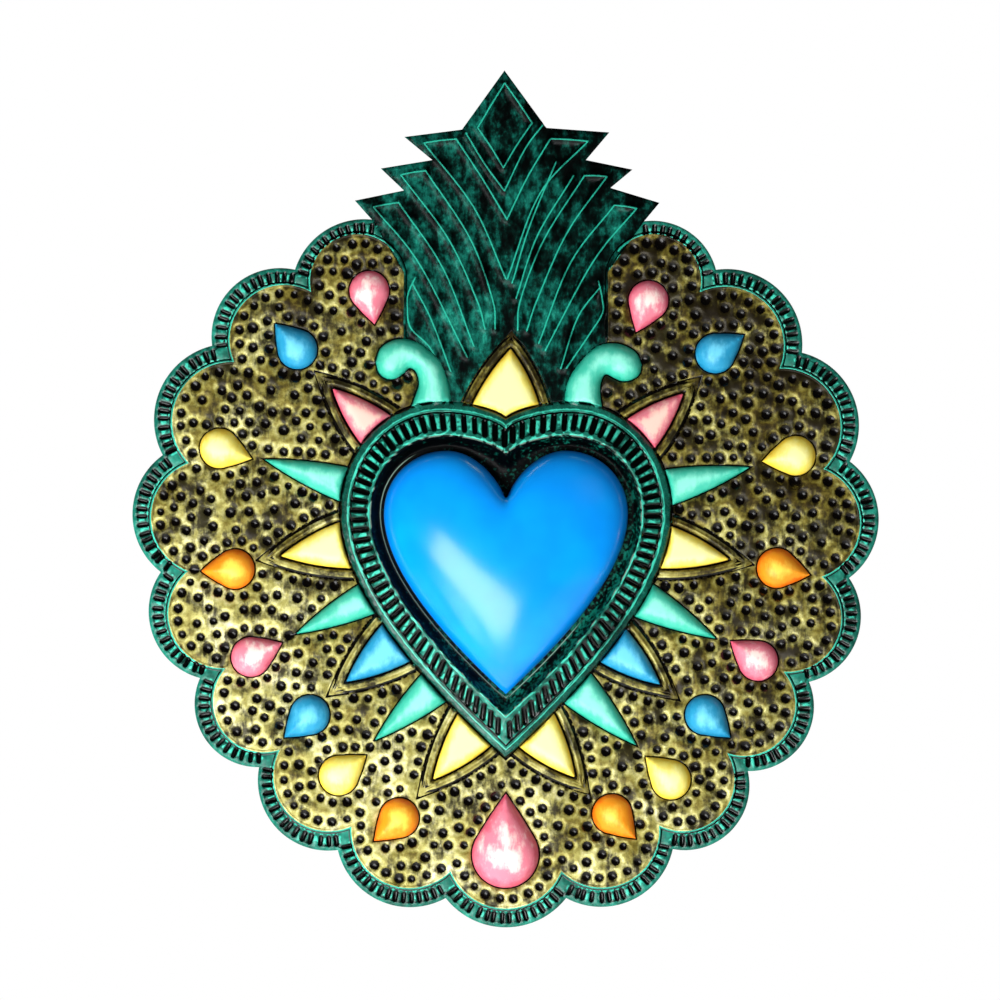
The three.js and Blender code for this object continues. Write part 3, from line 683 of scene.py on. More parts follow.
@dataclass
class SheetForm:
    """The sheet's relief: its lines, its punched marks, and the height and zone of any place."""

    plan: SheetPlan = field(default_factory=SheetPlan)
    field_puff: float = 1.4
    puff_reach: float = 2.0
    bead_height: float = 0.9
    bead_half_width: float = 0.95
    border_puff: float = 0.42
    ledge_height: float = 1.9
    rim_height: float = 5.2
    slope_swell: float = 0.35
    ray_height: float = 3.1
    ray_radius: float = 4.6
    ribbon_height: float = 1.15
    scroll_height: float = 4.2
    scroll_radius: float = 5.4
    ridge_height: float = 0.85
    ridge_half_width: float = 1.8
    crack_depth: float = 0.35
    pit_radius: float = 1.66
    pit_depth: float = 1.4
    pit_spacing: float = 5.0
    pit_clearance: float = 1.9
    dent_pitch: float = 2.85
    dent_inset: float = 3.35
    dent_radius: float = 0.88
    dent_half_length: float = 1.2
    dent_depth: float = 0.75
    flute_count: int = 94
    flute_radius: float = 1.0
    flute_half_length: float = 2.35
    flute_depth: float = 1.15
    # How far outside the wooden heart the painted highlight lies: a pale line on its lower-left side, where
    # the light comes from
    scratch_gap: float = 1.3

    def __post_init__(self) -> None:
        """Draw every line once."""
        plan = self.plan
        self.edge = plan.edge()
        self.field_line = plan.field_line()
        self.flame_area = plan.flame_area()
        self.frame_outer = plan.frame_line().outline()
        self.frame_ledge = plan.ledge_line().outline()
        self.frame_rim = plan.rim_line().outline()
        self.floor_edge = plan.floor_line().outline()
        self.wood_edge = plan.wood.outline()
        self.drop_lines = [drop.outline(plan.spacing) for drop in plan.drops]
        self.ray_sides = [plan.ray_sides(ray, self.frame_outer) for ray in plan.rays]
        self.ray_lines = [
            np.vstack([sides, plan.ray_foot(ray, 0, self.frame_outer)])
            for ray, sides in zip(plan.rays, self.ray_sides)
        ]
        self.surround_lines = [
            offset(sides, -plan.surround_width)
            for ray, sides in zip(plan.rays, self.ray_sides) if ray.framed
        ]
        self.framed_sides = [sides for ray, sides in zip(plan.rays, self.ray_sides) if ray.framed]
        self.surround_areas = [
            np.vstack([surround, sides[-1:], [[0, 0]], sides[:1]])
            for surround, sides in zip(self.surround_lines, self.framed_sides)
        ]
        self.scroll_lines = [plan.scroll_outline(-1), plan.scroll_outline(1)]
        self.ridge_paths = [curve_through(places, 14) for places in plan.ridges]
        self.field_area = np.vstack([
            self.field_line, [[-20, 66], [-20, 50], [20, 50], [20, 66]],
        ])
        self.dents = self.border_dents()
        self.flutes = self.frame_flutes()
        self.pits = self.field_pits()

    def zones(self, points: np.ndarray) -> np.ndarray:
        """Tell each point's zone.

        Args:
            points: The points.

        Returns:
            One zone number a point.
        """
        zone = np.where(inside(points, self.edge), Zone.BORDER.value, Zone.OUTSIDE.value)
        on_sheet = zone > 0
        zone[inside(points, self.field_area) & on_sheet] = Zone.FIELD.value
        zone[inside(points, self.flame_area) & on_sheet] = Zone.FLAME.value
        for area in self.surround_areas:
            zone[inside(points, area)] = Zone.SURROUND.value
        for ray, line in zip(self.plan.rays, self.ray_lines):
            zone[inside(points, line)] = (Zone.FRAMED_RAY if ray.framed else Zone.PLAIN_RAY).value
        for line in self.drop_lines:
            zone[inside(points, line)] = Zone.DROP.value
        for line in self.scroll_lines:
            zone[inside(points, line)] = Zone.SCROLL.value
        zone[inside(points, self.frame_outer)] = Zone.FRAME.value
        zone[inside(points, self.frame_rim)] = Zone.RECESS.value
        return zone

    def border_dents(self) -> Punch:
        """Place the long dents of the scalloped border, each pointing at its lobe's middle."""
        places, ways = [], []
        past_cusp, unevenness = 0.07, 0.012
        random = np.random.default_rng(SEED)
        for a, b, rise in self.plan.lobe_arcs():
            half = float(np.linalg.norm(b - a)) / 2
            radius = (half * half + rise * rise) / (2 * rise)
            along = (b - a) / (2 * half)
            out = np.array([-along[1], along[0]])
            centre = (a + b) / 2 + out * (rise - radius)
            reach = math.atan2(half, radius - rise) + past_cusp
            middle = radius - self.dent_inset
            count = max(2, round(2 * reach * middle / self.dent_pitch))
            turns = (np.arange(count) + 0.5) / count * 2 * reach - reach + random.normal(0, unevenness, count)
            spokes = np.sin(turns)[:, None] * along + np.cos(turns)[:, None] * out
            places.append(centre + spokes * middle)
            ways.append(spokes)
        places, ways = np.vstack(places), np.vstack(ways)
        radii = random.normal(self.dent_radius, 0.06, len(places))
        return Punch(places, ways, radii, self.dent_half_length)

    def frame_flutes(self) -> Punch:
        """Place the long dents of the frame's slope, from its ledge to its rim."""
        steps = 60
        outer, inner = self.plan.ledge_line().outline(steps), self.plan.rim_line().outline(steps)
        lengths = np.concatenate([[0], np.cumsum(np.linalg.norm(np.diff(outer, axis=0), axis=1))])
        random = np.random.default_rng(SEED + 1)
        targets = (np.arange(self.flute_count) + 0.5) / self.flute_count * (lengths[-1] + 0.1)
        targets += random.normal(0, 0.08, self.flute_count)
        along = [np.interp(targets, lengths, line) for line in (*outer.T, *inner.T)]
        outer_ends, inner_ends = np.column_stack(along[:2]), np.column_stack(along[2:])
        ways = outer_ends - inner_ends
        lengths_across = np.linalg.norm(ways, axis=1)
        ways /= lengths_across[:, None]
        places = inner_ends + (outer_ends - inner_ends) * 0.5
        radii = random.normal(self.flute_radius, 0.05, len(places))
        return Punch(places, ways, radii, self.flute_half_length)

    def field_pits(self) -> Punch:
        """Scatter the round pits over the dotted field: in rows along its edges, then at random."""
        random = np.random.default_rng(SEED + 2)
        rows = [offset(self.field_line, -3.3)]
        rows += [offset(line, -2.9, closed=True) for line in self.drop_lines]
        rows += [offset(line, -2.6) for line in self.surround_lines]
        rows += [offset(sides, -3.0) for ray, sides in zip(self.plan.rays, self.ray_sides) if not ray.framed]
        row_points = []
        for row in rows:
            travelled = np.concatenate([[0], np.cumsum(np.linalg.norm(np.diff(row, axis=0), axis=1))])
            stops = np.arange(self.pit_spacing / 2, travelled[-1], self.pit_spacing * 1.02)
            row_points.append(np.column_stack([np.interp(stops, travelled, row[:, i]) for i in (0, 1)]))
        low, high = self.edge.min(axis=0), self.edge.max(axis=0)
        scattered = random.uniform(low, high, (60_000, 2))
        in_rows = np.vstack(row_points)
        candidates = np.vstack([in_rows + random.normal(0, 0.25, in_rows.shape), scattered])
        candidates = candidates[self.zones(candidates) == Zone.FIELD.value]
        clear = self.feature_distance(candidates, 4.0)
        candidates = candidates[clear > self.pit_clearance]
        closest = self.pit_spacing * 0.88
        kept = np.empty((2000, 2))
        count = 0
        for place in candidates:
            gaps = kept[:count] - place
            if count == 0 or np.min(np.einsum("ij,ij->i", gaps, gaps)) > closest ** 2:
                kept[count] = place
                count += 1
        radii = random.normal(self.pit_radius, 0.15, count)
        return Punch(kept[:count], np.tile([1.0, 0.0], (count, 1)), radii, 0)

    def feature_distance(self, points: np.ndarray, reach: float) -> np.ndarray:
        """Measure how far points lie from the field's edges and from what is raised in it.

        Args:
            points: The points.
            reach: The greatest distance that matters.

        Returns:
            One distance a point, none above the reach.
        """
        nearest = distance_to(points, self.field_line, reach=reach)
        for line in (*self.drop_lines, *self.scroll_lines, self.frame_outer):
            nearest = np.minimum(nearest, distance_to(points, line, closed=True, reach=reach))
        for line in self.surround_lines:
            nearest = np.minimum(nearest, distance_to(points, line, reach=reach))
        for ray, sides in zip(self.plan.rays, self.ray_sides):
            if not ray.framed:
                nearest = np.minimum(nearest, distance_to(points, sides, reach=reach))
        return nearest

    @staticmethod
    def mark_distance(points: np.ndarray, marks: Punch, reach: float) -> tuple[np.ndarray, np.ndarray]:
        """Measure how far points lie from the nearest punched mark.

        Args:
            points: The points.
            marks: The marks.
            reach: The greatest distance that matters, as a share of a mark's radius.

        Returns:
            Each point's distance from a mark's middle line as a share of its radius, and that radius.
        """
        share = np.full(len(points), reach)
        radius = np.ones(len(points))
        order = np.argsort(points[:, 0])
        sorted_u = points[order, 0]
        for place, way, size in zip(marks.places, marks.ways, marks.radii):
            span = marks.half_length + reach * size
            first, last = np.searchsorted(sorted_u, (place[0] - span, place[0] + span))
            rows = order[first:last]
            rows = rows[np.abs(points[rows, 1] - place[1]) <= span]
            gap = points[rows] - place
            along = np.clip(gap @ way, -marks.half_length, marks.half_length)
            distance = np.linalg.norm(gap - along[:, None] * way, axis=1) / size
            closer = distance < share[rows]
            share[rows[closer]] = distance[closer]
            radius[rows[closer]] = size
        return share, radius

    def relief(self, points: np.ndarray) -> Relief:
        """Work out the sheet's front at each point.

        Args:
            points: The points.

        Returns:
            The height in millimetres, and how strongly each point is inset, in a groove or on a crest.
        """
        just_above = points + (0, 1e-6)
        in_field = inside(points, self.field_area) & ~inside(points, self.flame_area)
        flat = np.zeros((4, len(points)))
        relief = Relief(points, self.zones(just_above), in_field, inside(points, self.frame_outer), *flat)
        self.swell_field(relief)
        self.raise_border(relief)
        self.punch_pits(relief)
        self.raise_drops_and_scrolls(relief)
        self.raise_rays(relief)
        self.raise_ridges(relief)
        self.cut_crack(relief)
        self.raise_frame(relief)
        return relief

    def swell_field(self, relief: Relief) -> None:
        """Puff the dotted field up between its edges, which stay dark: a black line at each edge, and painted
        shade fading out beside it.
        """
        near = self.feature_distance(relief.points, 9.0)
        puff = self.field_puff * (1 - np.exp(-near / self.puff_reach))
        relief.height = np.where(relief.in_field & ~relief.in_frame, puff, 0.0)
        # A black line at each edge, and painted shade: the field darkens within a few millimetres of its
        # edges, where it dips beside the raised lines
        edge_line, shade = roof(near, 0.7), 0.36 * np.exp(-near / 2.4)
        relief.patina = np.where(relief.in_field, np.maximum(edge_line, shade), 0.0)

    def raise_border(self, relief: Relief) -> None:
        """Raise the bead around the field, its bright line dimmed beside the flame as painted shade, and the
        border with its dents.
        """
        points, in_frame = relief.points, relief.in_frame
        to_bead = distance_to(points, self.field_line, reach=12)
        bead = np.where(in_frame, 0, self.bead_height * roof(to_bead, self.bead_half_width))
        relief.height = np.maximum(relief.height, bead)
        # Painted shade: beside the flame the bead's bright line is dimmed, as that edge lies in shadow
        beside_flame = (np.abs(points[:, 0]) < self.plan.field_corner[0] + 3.5) & (points[:, 1] > 60)
        relief.crest = np.maximum(relief.crest, roof(to_bead, 0.6) * np.where(beside_flame, 0.35, 1.0))
        relief.patina = np.where(to_bead < 0.45, 0, relief.patina)
        relief.darken(~relief.in_field & ~in_frame, roof(np.abs(to_bead - 0.85), 0.45))

        border = relief.zone == Zone.BORDER.value
        to_edge = distance_to(points, self.edge, closed=True, reach=12)
        puff = self.border_puff * smooth(to_edge, 0.2, 2.2) * smooth(to_bead, 0.6, 2.0)
        relief.height += np.where(border, puff, 0)
        share, _ = self.mark_distance(points, self.dents, 2.0)
        dent = np.clip(1 - share ** 2, 0, 1)
        relief.height -= np.where(border | (relief.zone == Zone.OUTSIDE.value), self.dent_depth * dent, 0)
        relief.height += np.where(border, 0.14 * hump(share, 1.35, 0.3), 0)
        relief.darken(border, np.clip(1.6 - share, 0, 1))
        relief.brighten(border, hump(share, 1.5, 0.25))

    def punch_pits(self, relief: Relief) -> None:
        """Sink the round pits into the dotted field, each with a bright lip."""
        share, radius = self.mark_distance(relief.points, self.pits, 2.6)
        bowl = 1 - smooth(share, 0.2, 1.75)
        sunk = self.pit_depth * radius / self.pit_radius * bowl
        relief.height -= np.where(relief.in_field & ~relief.in_frame, sunk, 0)
        relief.darken(relief.in_field, np.clip(1.5 - share, 0, 1))
        relief.brighten(relief.in_field, hump(share, 1.45, 0.25))

    def raise_drops_and_scrolls(self, relief: Relief) -> None:
        """Raise the drops on the field and the scrolls beside the flame, each with a fine dark outline."""
        for drop, line in zip(self.plan.drops, self.drop_lines):
            rows = np.flatnonzero(inside(relief.points, line))
            depth = distance_to(relief.points[rows], line, closed=True, reach=30)
            relief.height[rows] += drop.height * dome(depth, drop.radius)
            relief.inset[rows] = depth / drop.radius
            relief.patina[rows] = roof(depth, 0.3)
        for line in self.scroll_lines:
            rows = np.flatnonzero(inside(relief.points, line))
            depth = distance_to(relief.points[rows], line, closed=True, reach=30)
            relief.height[rows] = self.scroll_height * dome(depth, self.scroll_radius, 0.7)
            relief.inset[rows] = depth / self.scroll_radius
            relief.patina[rows] = roof(depth, 0.4)

    def raise_rays(self, relief: Relief) -> None:
        """Raise the rays around the frame, and the ribbon and wire around the framed ones."""
        points = relief.points
        to_frame = distance_to(points, self.frame_outer, closed=True, reach=60)
        meets_frame = smooth(to_frame, 0.0, 0.8)
        areas = iter(self.surround_areas)
        for ray, sides, line in zip(self.plan.rays, self.ray_sides, self.ray_lines):
            depth = distance_to(points, sides, reach=12)
            on_ray = inside(points, line) & ~relief.in_frame
            if ray.framed:
                around = inside(points, next(areas)) & ~on_ray & ~relief.in_frame
                wire = roof(np.abs(depth - 1.55), 0.65)
                ribbon = smooth(depth, 0.9, 1.5) * (1 - smooth(depth, 2.9, 3.5))
                raised = (0.5 * wire + self.ribbon_height * ribbon) * meets_frame + 0.1
                relief.height = np.where(around, raised, relief.height)
                groove = np.maximum(roof(depth, 1.15), 1.1 * roof(np.abs(depth - 3.6), 0.7))
                relief.patina = np.where(around, np.clip(groove * 1.6, 0.1, 1), relief.patina)
                edge = roof(np.abs(depth - 2.9), 0.4)
                relief.crest = np.where(around, np.maximum(wire, edge), relief.crest)
            boss = self.ray_height * dome(depth, self.ray_radius) * meets_frame
            relief.height = np.where(on_ray, boss, relief.height)
            relief.inset = np.where(on_ray, np.minimum(depth / self.ray_radius, to_frame / 3), relief.inset)
            relief.patina = np.where(on_ray, roof(np.minimum(depth, to_frame), 0.4), relief.patina)

    def raise_ridges(self, relief: Relief) -> None:
        """Raise the flame's chased ridges, which end at the scrolls and at the topmost ray."""
        covered = np.isin(relief.zone, [Zone.SCROLL.value, Zone.FRAMED_RAY.value, Zone.SURROUND.value])
        open_flame = inside(relief.points, self.flame_area) & ~relief.in_frame & ~covered
        for path in self.ridge_paths:
            gap = distance_to(relief.points, path, reach=4)
            ridge = self.ridge_height * roof(gap, self.ridge_half_width)
            relief.height = np.where(open_flame, np.maximum(relief.height, ridge), relief.height)
            relief.brighten(open_flame, roof(gap, 0.5))

    def cut_crack(self, relief: Relief) -> None:
        """Cut the short crack in the lacquer at the border's right side."""
        crack = roof(distance_to(relief.points, np.array(self.plan.crack), reach=3), 0.45)
        relief.height -= self.crack_depth * crack
        relief.patina = np.maximum(relief.patina, crack)

    def raise_frame(self, relief: Relief) -> None:
        """Raise the frame: its ledge, fluted slope, rim and wall, around the recess's flat floor, with a
        painted highlight beside the heart's lower-left edge.
        """
        rows = np.flatnonzero(relief.in_frame)
        places = relief.points[rows]
        outer, ledge, rim, floor = (
            distance_to(places, line, closed=True, reach=70)
            for line in (self.frame_outer, self.frame_ledge, self.frame_rim, self.floor_edge)
        )
        in_ledge, in_rim, in_floor = (
            inside(places, line) for line in (self.frame_ledge, self.frame_rim, self.floor_edge)
        )
        on_slope, on_wall = in_ledge & ~in_rim, in_rim & ~in_floor
        share, _ = self.mark_distance(places, self.flutes, 2.0)

        step = np.minimum(1, outer / np.maximum(outer + ledge, 1e-6))
        rise = np.where(in_ledge, 0, self.ledge_height * np.minimum(1, 2.2 * step) ** 0.6)
        slope = ledge / np.maximum(ledge + rim, 1e-6)
        swell = self.slope_swell * np.sin(np.pi * slope)
        climb = self.ledge_height + (self.rim_height - self.ledge_height) * slope + swell
        rise = np.where(on_slope, climb, rise)
        fall = rim / np.maximum(rim + floor, 1e-6)
        full_height = 1 - smooth(np.zeros(1), -0.15, 1.0)
        rise = np.where(on_wall, self.rim_height * (1 - smooth(fall, -0.15, 1.0)) / full_height, rise)
        rise = np.where(in_floor, 0, rise)
        rise += np.where(on_slope | ~in_ledge, 0.3 * roof(ledge, 0.8), 0)
        rise -= np.where(on_slope, 0.35 * roof(np.abs(ledge - 1.1), 0.5), 0)
        rise -= np.where(on_slope, self.flute_depth * np.clip(1 - share ** 2, 0, 1), 0)
        rise += np.where(on_slope, 0.12 * hump(share, 1.3, 0.3), 0)

        dark = np.where(on_slope, np.clip(1.6 - share, 0, 1), 0)
        dark = np.where(on_slope, np.maximum(dark, roof(np.abs(ledge - 1.1), 0.6)), dark)
        dark = np.where(~in_ledge, np.maximum(roof(outer, 1.3), 0.54), dark)
        bright = np.where(on_slope, hump(share, 1.5, 0.25), 0)
        bright = np.maximum(bright, roof(rim, 0.7) * ~in_rim)
        bright = np.maximum(bright, 0.75 * roof(ledge, 0.5))
        # Painted highlight: a pale line on a fine ridge beside the heart's lower-left edge, the side that the
        # lamps light
        to_wood = distance_to(places, self.wood_edge, closed=True, reach=6)
        on_lower_left = smooth(-places[:, 0] - places[:, 1], -12, 4)
        scratch = roof(np.abs(to_wood - self.scratch_gap), 0.35) * on_lower_left

        relief.height[rows] = rise + np.where(in_floor, 0.25 * scratch, 0)
        relief.patina[rows] = dark
        relief.crest[rows] = np.where(in_floor, scratch, bright)
        relief.inset[rows] = np.where(in_rim, 0, slope)


@dataclass
class SheetSkin:
    """The triangles of the sheet's front, with the relief at every corner."""

    form: SheetForm
    fill_spacing: float = 0.95
    lines_beside_bead: tuple[float, ...] = (-0.95, -0.5, 0.0, 0.42, 0.85, 1.3)
    lines_around_rays: tuple[float, ...] = (0.9, 1.55, 2.2, 2.9, 3.5)
    lines_beside_ridges: tuple[float, ...] = (-1.8, -0.9, -0.45, -0.2, 0.0, 0.2, 0.45, 0.9, 1.8)
    lines_beside_rim: tuple[float, ...] = (-0.7, 0.8)
    lines_beside_ledge: tuple[float, ...] = (-0.5, 0.5, 1.1, 1.7)
    # Half the width of the painted highlight beside the wooden heart
    scratch_half_width: float = 0.35

    def __post_init__(self) -> None:
        """Lay out the points and lines, join them to triangles and raise the relief."""
        self.points, self.triangles = self.triangulate(*self.layout())
        middles = self.points[self.triangles].mean(axis=1)
        self.zone = self.form.zones(middles)
        kept = self.zone != Zone.OUTSIDE.value
        self.triangles, self.zone, self.middles = self.triangles[kept], self.zone[kept], middles[kept]
        self.relief = self.form.relief(self.points)
        log.info("skin: %d points, %d triangles", len(self.points), len(self.triangles))

    def layout(self) -> tuple[np.ndarray, np.ndarray]:
        """Lay out the points and the edges that triangles must keep.

        Returns:
            The points, and pairs of point numbers.
        """
        form = self.form
        points: list[np.ndarray] = []
        edges: list[np.ndarray] = []
        count = 0

        def add(path: np.ndarray, closed: bool) -> None:
            """Add a path as points and edges."""
            nonlocal count
            numbers = np.arange(len(path)) + count
            pairs = np.column_stack([numbers, np.roll(numbers, -1)])
            points.append(path)
            edges.append(pairs if closed else pairs[:-1])
            count += len(path)

        spacing = form.plan.spacing
        for line in (form.edge, form.frame_outer, form.frame_ledge, form.frame_rim, form.floor_edge,
                     *form.drop_lines, *form.scroll_lines, *form.ray_lines):
            add(line, True)
        for distance in self.lines_beside_bead:
            add(offset(form.field_line, distance), False)
        add(subdivided(form.flame_area, spacing, closed=True), True)
        for sides in form.framed_sides:
            for distance in self.lines_around_rays:
                add(offset(sides, -distance), False)
        for ray, sides in zip(form.plan.rays, form.ray_sides):
            add(offset(sides, 0.4), False)
            if not ray.framed:
                add(offset(sides, -0.6), False)
        for line in form.surround_lines:
            add(offset(line, -0.6), False)
        for line in (*form.drop_lines, *form.scroll_lines):
            add(offset(line, 0.3, closed=True), True)
            add(offset(line, -0.6, closed=True), True)
        add(offset(form.frame_outer, -0.6, closed=True), True)
        add(offset(form.frame_outer, 1.1, closed=True), True)
        for line in form.surround_lines:
            add(line, False)
        for path in form.ridge_paths:
            for distance in self.lines_beside_ridges:
                add(offset(subdivided(path, spacing), distance), False)
        for step in self.lines_beside_rim:
            add(offset(form.frame_rim, step, closed=True), True)
        for step in self.lines_beside_ledge:
            add(offset(form.frame_ledge, step, closed=True), True)
        # Lines that keep the painted highlight beside the wooden heart crisp
        for side in (-1, 0, 1):
            distance = form.scratch_gap + side * self.scratch_half_width
            add(offset(form.wood_edge, -distance, closed=True), True)
        for drop, line in zip(form.plan.drops, form.drop_lines):
            for share in (0.8, 0.6):
                add(drop.centre() + (line - drop.centre()) * share, True)
        for marks, shares in (
            (form.dents, (0.45, 1.0)), (form.flutes, (0.45, 1.0)), (form.pits, (0.5, 0.95, 1.45)),
        ):
            for place, way, radius in zip(marks.places, marks.ways, marks.radii):
                for share in shares:
                    add(self.capsule(place, way, radius * share, marks.half_length), True)
        lined = np.vstack(points)
        filled = self.fill(lined)
        return np.vstack([lined, filled]), np.vstack(edges)

    @staticmethod
    def capsule(place: np.ndarray, way: np.ndarray, radius: float, half_length: float) -> np.ndarray:
        """Draw a circle, or an oval with straight sides.

        Args:
            place: Its middle.
            way: The direction of its length.
            radius: Its half width.
            half_length: Half the length of its straight sides.

        Returns:
            The closed outline's points.
        """
        count = 10 if half_length == 0 else 12
        turns = (np.arange(count) + 0.5) / count * 2 * math.pi
        across = np.array([-way[1], way[0]])
        ends = np.sign(np.cos(turns)) * half_length
        ring = np.cos(turns)[:, None] * way + np.sin(turns)[:, None] * across
        return place + radius * ring + ends[:, None] * way

    def fill(self, lined: np.ndarray) -> np.ndarray:
        """Scatter points evenly over the sheet, clear of the lines.

        Args:
            lined: The points on lines.

        Returns:
            The added points.
        """
        form = self.form
        random = np.random.default_rng(SEED + 3)
        low, high = form.edge.min(axis=0), form.edge.max(axis=0)
        columns = np.arange(low[0], high[0], self.fill_spacing)
        rows = np.arange(low[1], high[1], self.fill_spacing * math.sqrt(3) / 2)
        u, v = np.meshgrid(columns, rows)
        u[1::2] += self.fill_spacing / 2
        grid = np.column_stack([u.ravel(), v.ravel()])
        grid += random.normal(0, 0.05 * self.fill_spacing, grid.shape)
        grid = grid[inside(grid, form.edge)]
        cell = 0.5 * self.fill_spacing
        taken = set(map(tuple, np.floor((lined - low) / cell).astype(int)))
        keys = np.floor((grid - low) / cell).astype(int)
        free = [
            not any((i + du, j + dv) in taken for du in (-1, 0, 1) for dv in (-1, 0, 1)) for i, j in keys
        ]
        return grid[np.array(free)]

    @staticmethod
    def triangulate(points: np.ndarray, edges: np.ndarray) -> tuple[np.ndarray, np.ndarray]:
        """Join points to triangles that keep the given edges.

        Args:
            points: The points.
            edges: Pairs of point numbers.

        Returns:
            The points, with those where edges cross, and the triangles, counter-clockwise.
        """
        corners, _, faces, *_ = delaunay_2d_cdt(
            [Vector(point) for point in points.tolist()], edges.tolist(), [], 0, 1e-4, False,
        )
        joined = np.array([tuple(corner) for corner in corners])
        triangles = np.array([face for face in faces if len(face) == 3])
        a, b, c = (joined[triangles[:, i]] for i in range(3))
        area = (b[:, 0] - a[:, 0]) * (c[:, 1] - a[:, 1]) - (b[:, 1] - a[:, 1]) * (c[:, 0] - a[:, 0])
        triangles[area < 0] = triangles[area < 0][:, ::-1]
        return joined, triangles[np.abs(area) > 1e-7]


# Shader building


def linear(hex_colour: str) -> tuple[float, float, float, float]:
    """Turn an sRGB hex colour into the linear one that shaders use."""
    channels = (int(hex_colour[i:i + 2], 16) / 255 for i in (1, 3, 5))
    red, green, blue = (c / 12.92 if c <= 0.04045 else ((c + 0.055) / 1.055) ** 2.4 for c in channels)
    return red, green, blue, 1.0


def add_node(tree: bpy.types.NodeTree, kind: str, inputs: dict[Any, Any] | None = None,
             output: str | int = 0, stops: Iterable[tuple[float, str]] = (),
             **settings: Any) -> Socket | None:
    """Add a shader node with its settings and links.

    Args:
        tree: The node tree.
        kind: The node's type, without the word that every shader node's type starts with.
        inputs: A source socket, a value or a hex colour by the input's name or number.
        output: The name or number of the output that is wanted.
        stops: A colour ramp's places and hex colours, in order.
        settings: The node's properties.

    Returns:
        The output's socket, or nothing where the node has none.
    """
    node = tree.nodes.new("ShaderNode" + kind)
    for name, value in settings.items():
        setattr(node, name, value)
    for name, value in (inputs or {}).items():
        if isinstance(value, Socket):
            tree.links.new(value, node.inputs[name])
        else:
            node.inputs[name].default_value = linear(value) if isinstance(value, str) else value
    for number, (place, colour) in enumerate(stops):
        elements = node.color_ramp.elements
        element = elements[number] if number < len(elements) else elements.new(place)
        element.position = place
        element.color = linear(colour)
    return node.outputs[output] if node.outputs else None


def fresh_nodes(block: bpy.types.Material | bpy.types.World) -> AddNode:
    """Empty a material's or world's node tree.

    Args:
        block: The material or world.

    Returns:
        What adds a node to it.
    """
    block.use_nodes = True
    block.node_tree.nodes.clear()
    return partial(add_node, block.node_tree)


def weighted_sum(add: AddNode, start: float, *terms: tuple[Socket, float]) -> Socket:
    """Add up values, each times its own weight.

    Args:
        add: What adds a node.
        start: The number that the sum starts from.
        terms: The values and their weights.

    Returns:
        The sum's socket.
    """
    total = start
    for value, weight in terms:
        total = add("Math", {0: value, 1: weight, 2: total}, operation="MULTIPLY_ADD")
    return total


def grains(size_mm: float) -> float:
    """Give the scale of a pattern whose grains have a real size in millimetres."""
    return 1 / (size_mm * MM)


@dataclass(frozen=True)
class Finish:
    """A surface finish; each kind adds its own colour and relief."""

    name: str
    roughness: float = 0.4
    metallic: float = 0.0
    specular: float = field(default=0.5, kw_only=True)

    def build(self) -> bpy.types.Material:
        """Make the material."""
        material = bpy.data.materials.new(self.name)
        add = fresh_nodes(material)
        inputs = {
            "Roughness": self.roughness, "Metallic": self.metallic, "Specular IOR Level": self.specular,
            **self.dress(add, add("TexCoord", output="Object")),
        }
        add("OutputMaterial", {"Surface": add("BsdfPrincipled", inputs)}, is_active_output=True)
        return material

    def dress(self, add: AddNode, place: Socket) -> dict[str, Any]:
        """Add the finish's own nodes.

        Args:
            add: What adds a node to the finish.
            place: The place on the object, in metres.

        Returns:
            What the surface shader's inputs are fed with, by their names.
        """
        raise NotImplementedError


